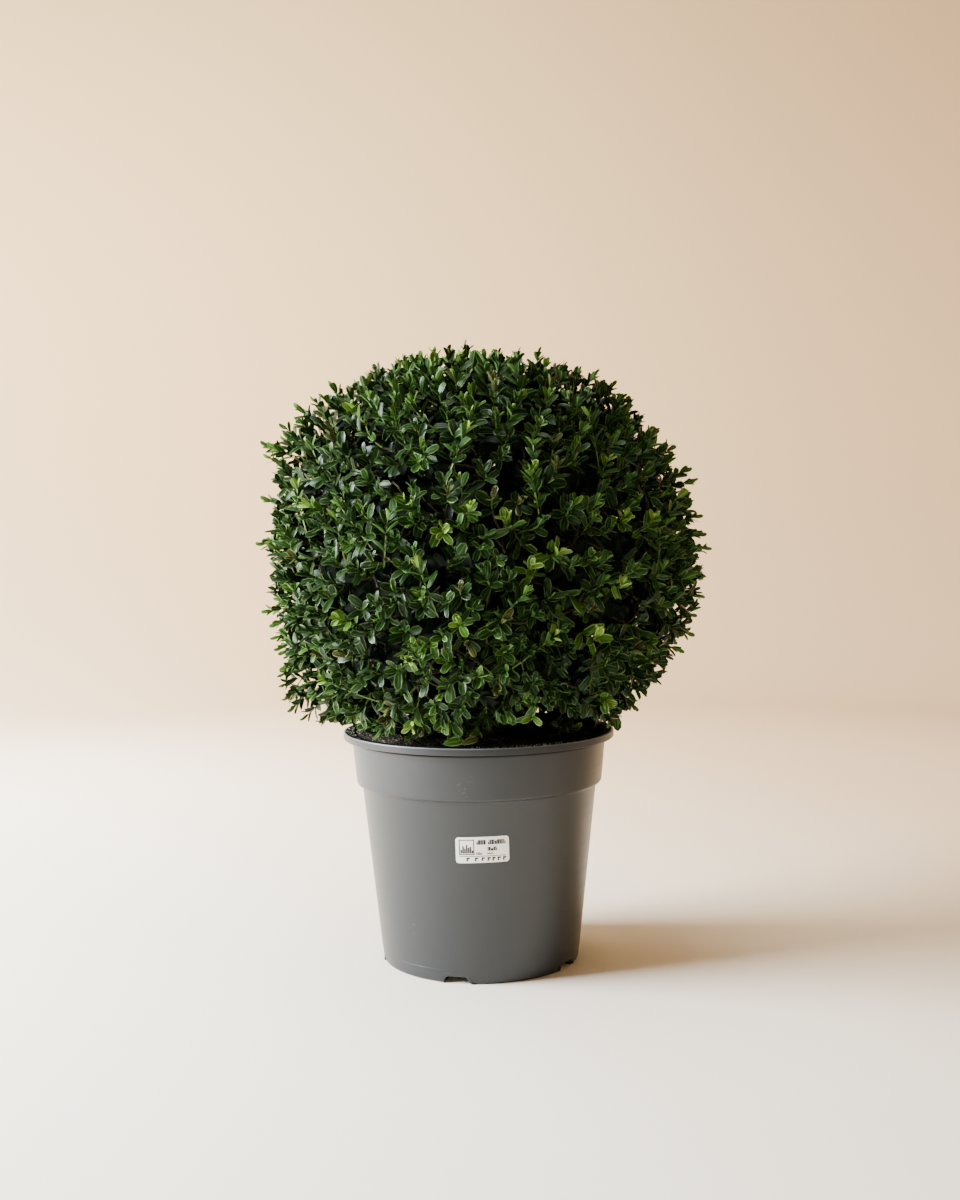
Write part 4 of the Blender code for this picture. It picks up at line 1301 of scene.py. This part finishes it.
def makeLeafUpper(tone):
    # Box leaf, upper side: leathery under a smooth wax, so a dark green carries a soft bluish sheen.
    # Each leaf has its own tone, a pale midrib, a pale margin that is partly a painted highlight, and side
    # veins that ripple the light.
    made, tree, shader, along, across, chance = startLeaf("boxLeaf", tone, {
        "Roughness": 0.34, "IOR": 1.5, "Specular IOR Level": 0.13, "Specular Tint": "#d6ecf2",
    })
    dark, light, line, _ = leafTones[tone]
    blade = addNode(tree, "Mix", {0: chance, 6: dark, 7: light}, data_type="RGBA")
    rib = addNode(  # about 0.5 mm wide
        tree, "MapRange",
        {"Value": across, "From Min": 0.04, "From Max": 0.13, "To Min": 0.3, "To Max": 0.0},
    )
    # the pale margin: the leaf's real pale edge, widened and brightened as a painted highlight
    marginAndHighlight = addNode(
        tree, "MapRange",
        {"Value": across, "From Min": 0.76, "From Max": 0.92, "To Min": 0.0, "To Max": 0.75},
    )
    lines = addNode(tree, "Math", {0: rib, 1: marginAndHighlight}, operation="MAXIMUM")
    colour = addNode(tree, "Mix", {0: lines, 6: blade, 7: line}, data_type="RGBA")
    # side veins leave the midrib at a slant, 2 mm apart on a leaf of 16 mm
    slant = addNode(tree, "Math", {0: across, 1: -0.22, 2: along}, operation="MULTIPLY_ADD")
    veins = addNode(tree, "Math", {0: slant, 1: 50.0}, operation="MULTIPLY")
    ripple = addNode(tree, "Math", {0: veins}, operation="SINE")
    height = addNode(tree, "Math", {0: ripple, 1: 0.12, 2: lines}, operation="MULTIPLY_ADD")
    bump = addNode(tree, "Bump", {"Strength": 0.35, "Distance": 0.0003, "Height": height})
    connect(shader, {"Base Color": colour, "Normal": bump})
    return made


def makeLeafUnder(tone):
    # Box leaf, underside: no gloss and paler, its midrib standing out paler still.
    made, tree, shader, _, across, chance = startLeaf("boxLeafUnder", tone, {
        "Roughness": 0.65, "Specular IOR Level": 0.1,
    })
    _, light, line, under = leafTones[tone]
    blade = addNode(tree, "Mix", {0: chance, 6: under, 7: light}, data_type="RGBA")
    rib = addNode(
        tree, "MapRange",
        {"Value": across, "From Min": 0.06, "From Max": 0.18, "To Min": 0.5, "To Max": 0.0},
    )
    colour = addNode(tree, "Mix", {0: rib, 6: blade, 7: line}, data_type="RGBA")
    connect(shader, {"Base Color": colour})
    return made


def makeLeafRim(tone):
    # The thin hard margin of the leaf, smoother than the blade and paler towards the tip; its pale colour is
    # partly a painted highlight.
    made, tree, shader, along, _, _ = startLeaf("boxLeafRim", tone, {
        "Roughness": 0.36, "IOR": 1.5, "Specular IOR Level": 0.3,
    })
    _, light, line, _ = leafTones[tone]
    colour = addNode(tree, "Mix", {0: along, 6: light, 7: line}, data_type="RGBA")
    connect(shader, {"Base Color": colour})
    return made


def makeLeafPieces():
    finishes = {tone: [makeLeafUpper(tone), makeLeafUnder(tone), makeLeafRim(tone)] for tone in leafTones}
    chance = np.random.default_rng(growth["seed"])
    total = triangles = 0
    for (tone, kind), placed in sorted(beds.items()):
        shape, faces, marks = leafTemplates[kind][0]
        flat = [(x, y / leafWidth(x) if 0.01 < x < 0.99 else 0.0) for x, y, _ in shape]
        most = leaf["mostTriangles"] // len(faces)
        for first in range(0, len(placed), most):
            group = np.array(placed[first:first + most])
            places = np.empty(group.shape)
            places[..., :2] = flat
            places[..., 2] = chance.random((len(group), 1))
            name = f"leaves{tone.capitalize()}{kind.capitalize()}{first // most + 1}"
            mesh = joinedMesh(group, faces, marks, leaf["sharpAngle"], places)
            addPiece(name, mesh, finishes[tone], "leaf", "foliage_ball")
            total += len(group)
            triangles += len(group) * len(faces)
    print("leaves:", total, "of", triangles, "triangles")


# Label: a stiff glossy film with round corners, printed with plain bars that say nothing.
label = {
    "width": 0.048,
    "height": 0.024,
    "corner": 0.0028,
    "cornerSteps": 6,
    "thickness": 0.0003,
    "gap": 0.0003,
    "z": 0.1269,
    "azimuth": math.radians(1.2),
    "tilt": math.radians(1.35),
    "slice": 0.0015,  # how often a plate is cut so that it bends round the wall
    "inkHeight": 0.00004,
    "seed": 11,
    "frame": (  # left, right, low, high of bars, in millimetres from the middle
        (-21, -7.2, 8.9, 9.8), (-21, -7.2, -4.5, -3.6), (-21, -20.1, -4.5, 9.8), (-8.1, -7.2, -4.5, 9.8),
    ),
    "chart": (3.4, 6.8, 4.6, 8.0, 5.4, 6.2, 2.8),  # heights of the bars in the frame
    "strokes": (  # rows of short upright strokes: left, right, low, high, widest
        (-5.2, 3.6, 4.9, 9.2, 2.2), (5.0, 21.0, 4.9, 9.2, 2.2), (4.6, 13.8, -1.0, 2.7, 2.2),
        (-5.8, -0.4, -4.5, -2.0, 2.0),
    ),
    "rules": ((4.0, 9.8, -3.9, -2.9), (-20.6, 21.0, -6.1, -5.5)),
    "marks": (-14.5, -7.0, -1.0, 4.2, 8.6, 13.2, 18.2),  # left ends of the small marks at the foot
}


def ontoWall(point):  # bends a point of the flat label round the pot's wall
    point = Matrix.Rotation(label["tilt"], 3, "Z") @ point
    slope = math.atan2(pot["stepRadius"] - pot["baseRadius"], pot["stepZ"])
    z = label["z"] + point.y * math.cos(slope)
    out = label["gap"] + point.z
    azimuth = label["azimuth"] + point.x / bodyRadius(z)
    return bearing(azimuth, bodyRadius(z) + out * math.cos(slope), z - out * math.sin(slope))


def addPlate(bm, left, right, low, high, bottom, top, cornerRadius=0.0):
    corners = bmesh.ops.create_grid(bm, x_segments=1, y_segments=1, size=1.0)["verts"]
    for vert in corners:
        vert.co = (right if vert.co.x > 0 else left, high if vert.co.y > 0 else low, bottom)
    faces = list({face for vert in corners for face in vert.link_faces})
    if cornerRadius:
        bmesh.ops.bevel(
            bm, geom=corners, offset=cornerRadius, offset_type="OFFSET", affect="VERTICES",
            segments=label["cornerSteps"], profile=0.5, material=-1,
        )
        faces = bm.faces[:]
    cuts = int((right - left) / label["slice"])
    for cut in range(1, cuts + 1):
        place = left + (right - left) * cut / (cuts + 1)
        around = {part for face in faces for part in (*face.verts, *face.edges)}
        made = bmesh.ops.bisect_plane(
            bm, geom=list(around) + faces, plane_co=(place, 0, 0), plane_no=(1, 0, 0),
        )
        faces = newest(made, bmesh.types.BMFace)
    raised = newest(bmesh.ops.extrude_face_region(bm, geom=faces), bmesh.types.BMVert)
    bmesh.ops.translate(bm, verts=raised, vec=(0, 0, top - bottom))


def labelPiece(name, bm, finish, *nodes):
    for vert in bm.verts:
        vert.co = ontoWall(vert.co)
    addPiece(name, meshFrom(bm, 40), [finish], "label_film", *nodes)


def makeLabel():
    # Coated paper label under a clear film: white, faintly glossy, with a slight ripple.
    film = makeTwoTone(
        "coatedLabelFilm", "#f1f1ef", "#f8f8f6", {"Scale": 160.0, "Detail": 1.0},
        {"Roughness": 0.42, "IOR": 1.48, "Coat Weight": 0.2}, relief=(0.08, 0.0004),
    )
    # Thermal print: dark grey and matt, a little uneven where the ribbon ran thin.
    ink = makeTwoTone(
        "thermalPrint", "#08090a", "#16171a", {"Scale": 1600.0, "Detail": 2.0}, {"Roughness": 0.6},
    )
    half, halfHeight, thickness = label["width"] / 2, label["height"] / 2, label["thickness"]
    bm = bmesh.new()
    addPlate(bm, -half, half, -halfHeight, halfHeight, 0.0, thickness, label["corner"])
    labelPiece("labelFilm", bm, film, "label")
    bm, bars = bmesh.new(), labelBars()
    for bar in bars:
        addPlate(bm, *bar, thickness * 0.9, thickness + label["inkHeight"])
    labelPiece("labelPrint", bm, ink)
    print("label: film and", len(bars), "bars")


def strokeRow(left, right, low, high, widest, draw):
    bars = []
    while left < right - 0.4:
        width = min(draw.uniform(0.45, widest), right - left)
        top = high - draw.choice((0.0, 0.0, 0.25, 0.4)) * (high - low)
        bars.append((left, left + width, low, top))
        left += width + 0.2 * draw.uniform(0.7, 1.6)
    return bars


def labelBars():  # left, right, low, high of each printed bar, in metres from the middle
    draw = random.Random(label["seed"])
    bars = list(label["frame"])
    for number, height in enumerate(label["chart"]):
        left = -19.6 + 1.66 * number
        bars.append((left, left + 1.4, -3.0, -3.0 + height))
    for row in label["strokes"]:
        bars += strokeRow(*row, draw)
    bars += label["rules"]
    for left in label["marks"]:
        bars += [(left, left + 1.4, -10.4, -6.9), (left + 1.4, left + 3.0, -8.4, -6.9)]
    return [tuple(value * 0.001 for value in bar) for bar in bars]


# Studio: a round cove, its pale floor turning into a warm wall, with soft light from the left,
# a second light that washes the wall behind, and a weak one overhead.
studio = {
    "floorRadius": 2.0,
    "floorRings": 8,
    "coveRadius": 0.7,
    "coveSteps": 12,
    "wallTop": 2.9,
    "segments": 128,
    "floorColour": "#fffaec",
    # painted warm bounce light on the floor towards the right and back of the plant, where its shadow falls
    "paintedWarmLight": "#f2d8b2",
    "wallColour": "#dcc193",
    # painted shade: the wall's darker colour to the right
    "wallShadeColour": "#a98c68",
    "dimColour": "#695c4f",
    "wallSpan": (1.2, 3.3),  # distance over which the floor's colour turns into the wall's
    "wallShadeSpan": (-0.9, 2.0),  # along x: painted shade, the wall darker to the right, away from the key light
    "warmLightWay": (0.9, 0.6, 0),
    "warmLightSpan": (-0.35, 1.1),
    "dimWay": (0.50, -0.86, 0),  # where the wall is unlit: in front of the plant and to its right
    "dimSpan": (0.3, 2.0),
    "lights": (  # name, place, aim, size, power, colour
        ("keyLight", (-1.84, -0.26, 0.96), (0, 0, 0.25), (1.15, 0.75), 236, "#fafcff"),
        ("backLight", (-1.2, 0.95, 1.35), (-0.75, 2.6, 0.55), (1.5, 1.5), 82, "#fff6ec"),
        ("topLight", (-0.35, -0.15, 2.5), (0, 0, 0.2), (1.4, 1.4), 40, "#fffaf2"),
    ),
    "airColour": "#f1e4d4",
    "airStrength": 0.03,
}


def makeCovePaint():
    # Matt painted cove: pale under the plant, warmer with distance, with painted warm light on the floor
    # towards the right and back, and painted shade on the wall to the right.
    made, tree, shader = startMaterial("mattCovePaint", {"Roughness": 0.9})
    place = addNode(tree, "TexCoord").outputs["Object"]
    length = addNode(tree, "VectorMath", {"Vector": place}, operation="LENGTH")
    x = addNode(tree, "SeparateXYZ", {"Vector": place}).outputs["X"]
    warmLightWay = addNode(tree, "VectorMath", {0: place, 1: studio["warmLightWay"]}, operation="DOT_PRODUCT")
    dimWay = addNode(tree, "VectorMath", {0: place, 1: studio["dimWay"]}, operation="DOT_PRODUCT")
    shares = []
    for span, along in (("wallSpan", length), ("wallShadeSpan", x), ("warmLightSpan", warmLightWay), ("dimSpan", dimWay)):
        low, high = studio[span]
        shares.append(addNode(
            tree, "MapRange", {"Value": along, "From Min": low, "From Max": high},
            interpolation_type="SMOOTHSTEP",
        ))
    wallShare, far, warmLightShare, dim = shares
    # painted shade on the wall, darker to the right
    wall = addNode(tree, "Mix", {0: far, 6: studio["wallColour"], 7: studio["wallShadeColour"]}, data_type="RGBA")
    # painted warm light tints the floor
    ground = addNode(
        tree, "Mix", {0: warmLightShare, 6: studio["floorColour"], 7: studio["paintedWarmLight"]}, data_type="RGBA",
    )
    colour = addNode(tree, "Mix", {0: wallShare, 6: ground, 7: wall}, data_type="RGBA")
    # only the wall is unlit: the floor stays pale all round
    unlit = addNode(tree, "Math", {0: dim, 1: wallShare}, operation="MULTIPLY")
    shaded = addNode(tree, "Mix", {0: unlit, 6: colour, 7: studio["dimColour"]}, data_type="RGBA")
    connect(shader, {"Base Color": shaded})
    return made


def makeStudio():
    floor, cove = studio["floorRadius"], studio["coveRadius"]
    section = [(radius, 0.0) for radius in steps(0.0, floor, studio["floorRings"] + 1)]
    for angle in steps(0.0, math.pi / 2, studio["coveSteps"] + 1)[1:]:
        section.append((floor + cove * math.sin(angle), cove - cove * math.cos(angle)))
    section.append((floor + cove, studio["wallTop"]))
    mesh = meshFrom(spun(section, studio["segments"]))
    mesh.materials.append(makeCovePaint())
    addObject("studioCove", mesh)
    for name, place, aim, size, power, colour in studio["lights"]:
        lamp = bpy.data.lights.new(name, "AREA")
        lamp.shape = "RECTANGLE"
        lamp.size, lamp.size_y = size
        lamp.energy = power
        lamp.color = linear(colour)[:3]
        light = addObject(name, lamp)
        light.location = place
        light.rotation_euler = (Vector(place) - Vector(aim)).to_track_quat("Z", "Y").to_euler()
        light.visible_camera = False
    air = bpy.data.worlds.new("studioAir")
    air.use_nodes = True
    connect(air.node_tree.nodes["Background"], {
        "Color": studio["airColour"], "Strength": studio["airStrength"],
    })
    bpy.context.scene.world = air


# Camera: a little above the height of the crown's middle, 1.34 m in front.
camera = {
    "place": Vector((0.0028, -1.3371, 0.4103)),
    "pitch": math.radians(-2.797),
    "roll": math.radians(-0.691),
    "lens": 41.69,
    "sensor": 36.0,
    "near": 0.05,
    "far": 20,
}


def makeCamera():
    data = bpy.data.cameras.new("camera")
    data.sensor_width, data.lens = camera["sensor"], camera["lens"]
    data.clip_start, data.clip_end = camera["near"], camera["far"]
    made = addObject("camera", data)
    tilt = Matrix.Rotation(math.pi / 2 + camera["pitch"], 4, "X")
    made.matrix_world = Matrix.Translation(camera["place"]) @ tilt @ Matrix.Rotation(camera["roll"], 4, "Z")
    bpy.context.scene.camera = made


makeCamera()
makeStudio()
makePot()
makeCompost()
makeLabel()
boughDraw = random.Random(growth["seed"])
boughs = evenEnds(trunk["boughs"], trunk["boughDepth"], trunk["boughJitter"], boughDraw)
boughEnds = [end for end, _ in boughs]
bark = makeBark()
makeTrunk(bark, boughEnds)
growCrown(bark, boughEnds)
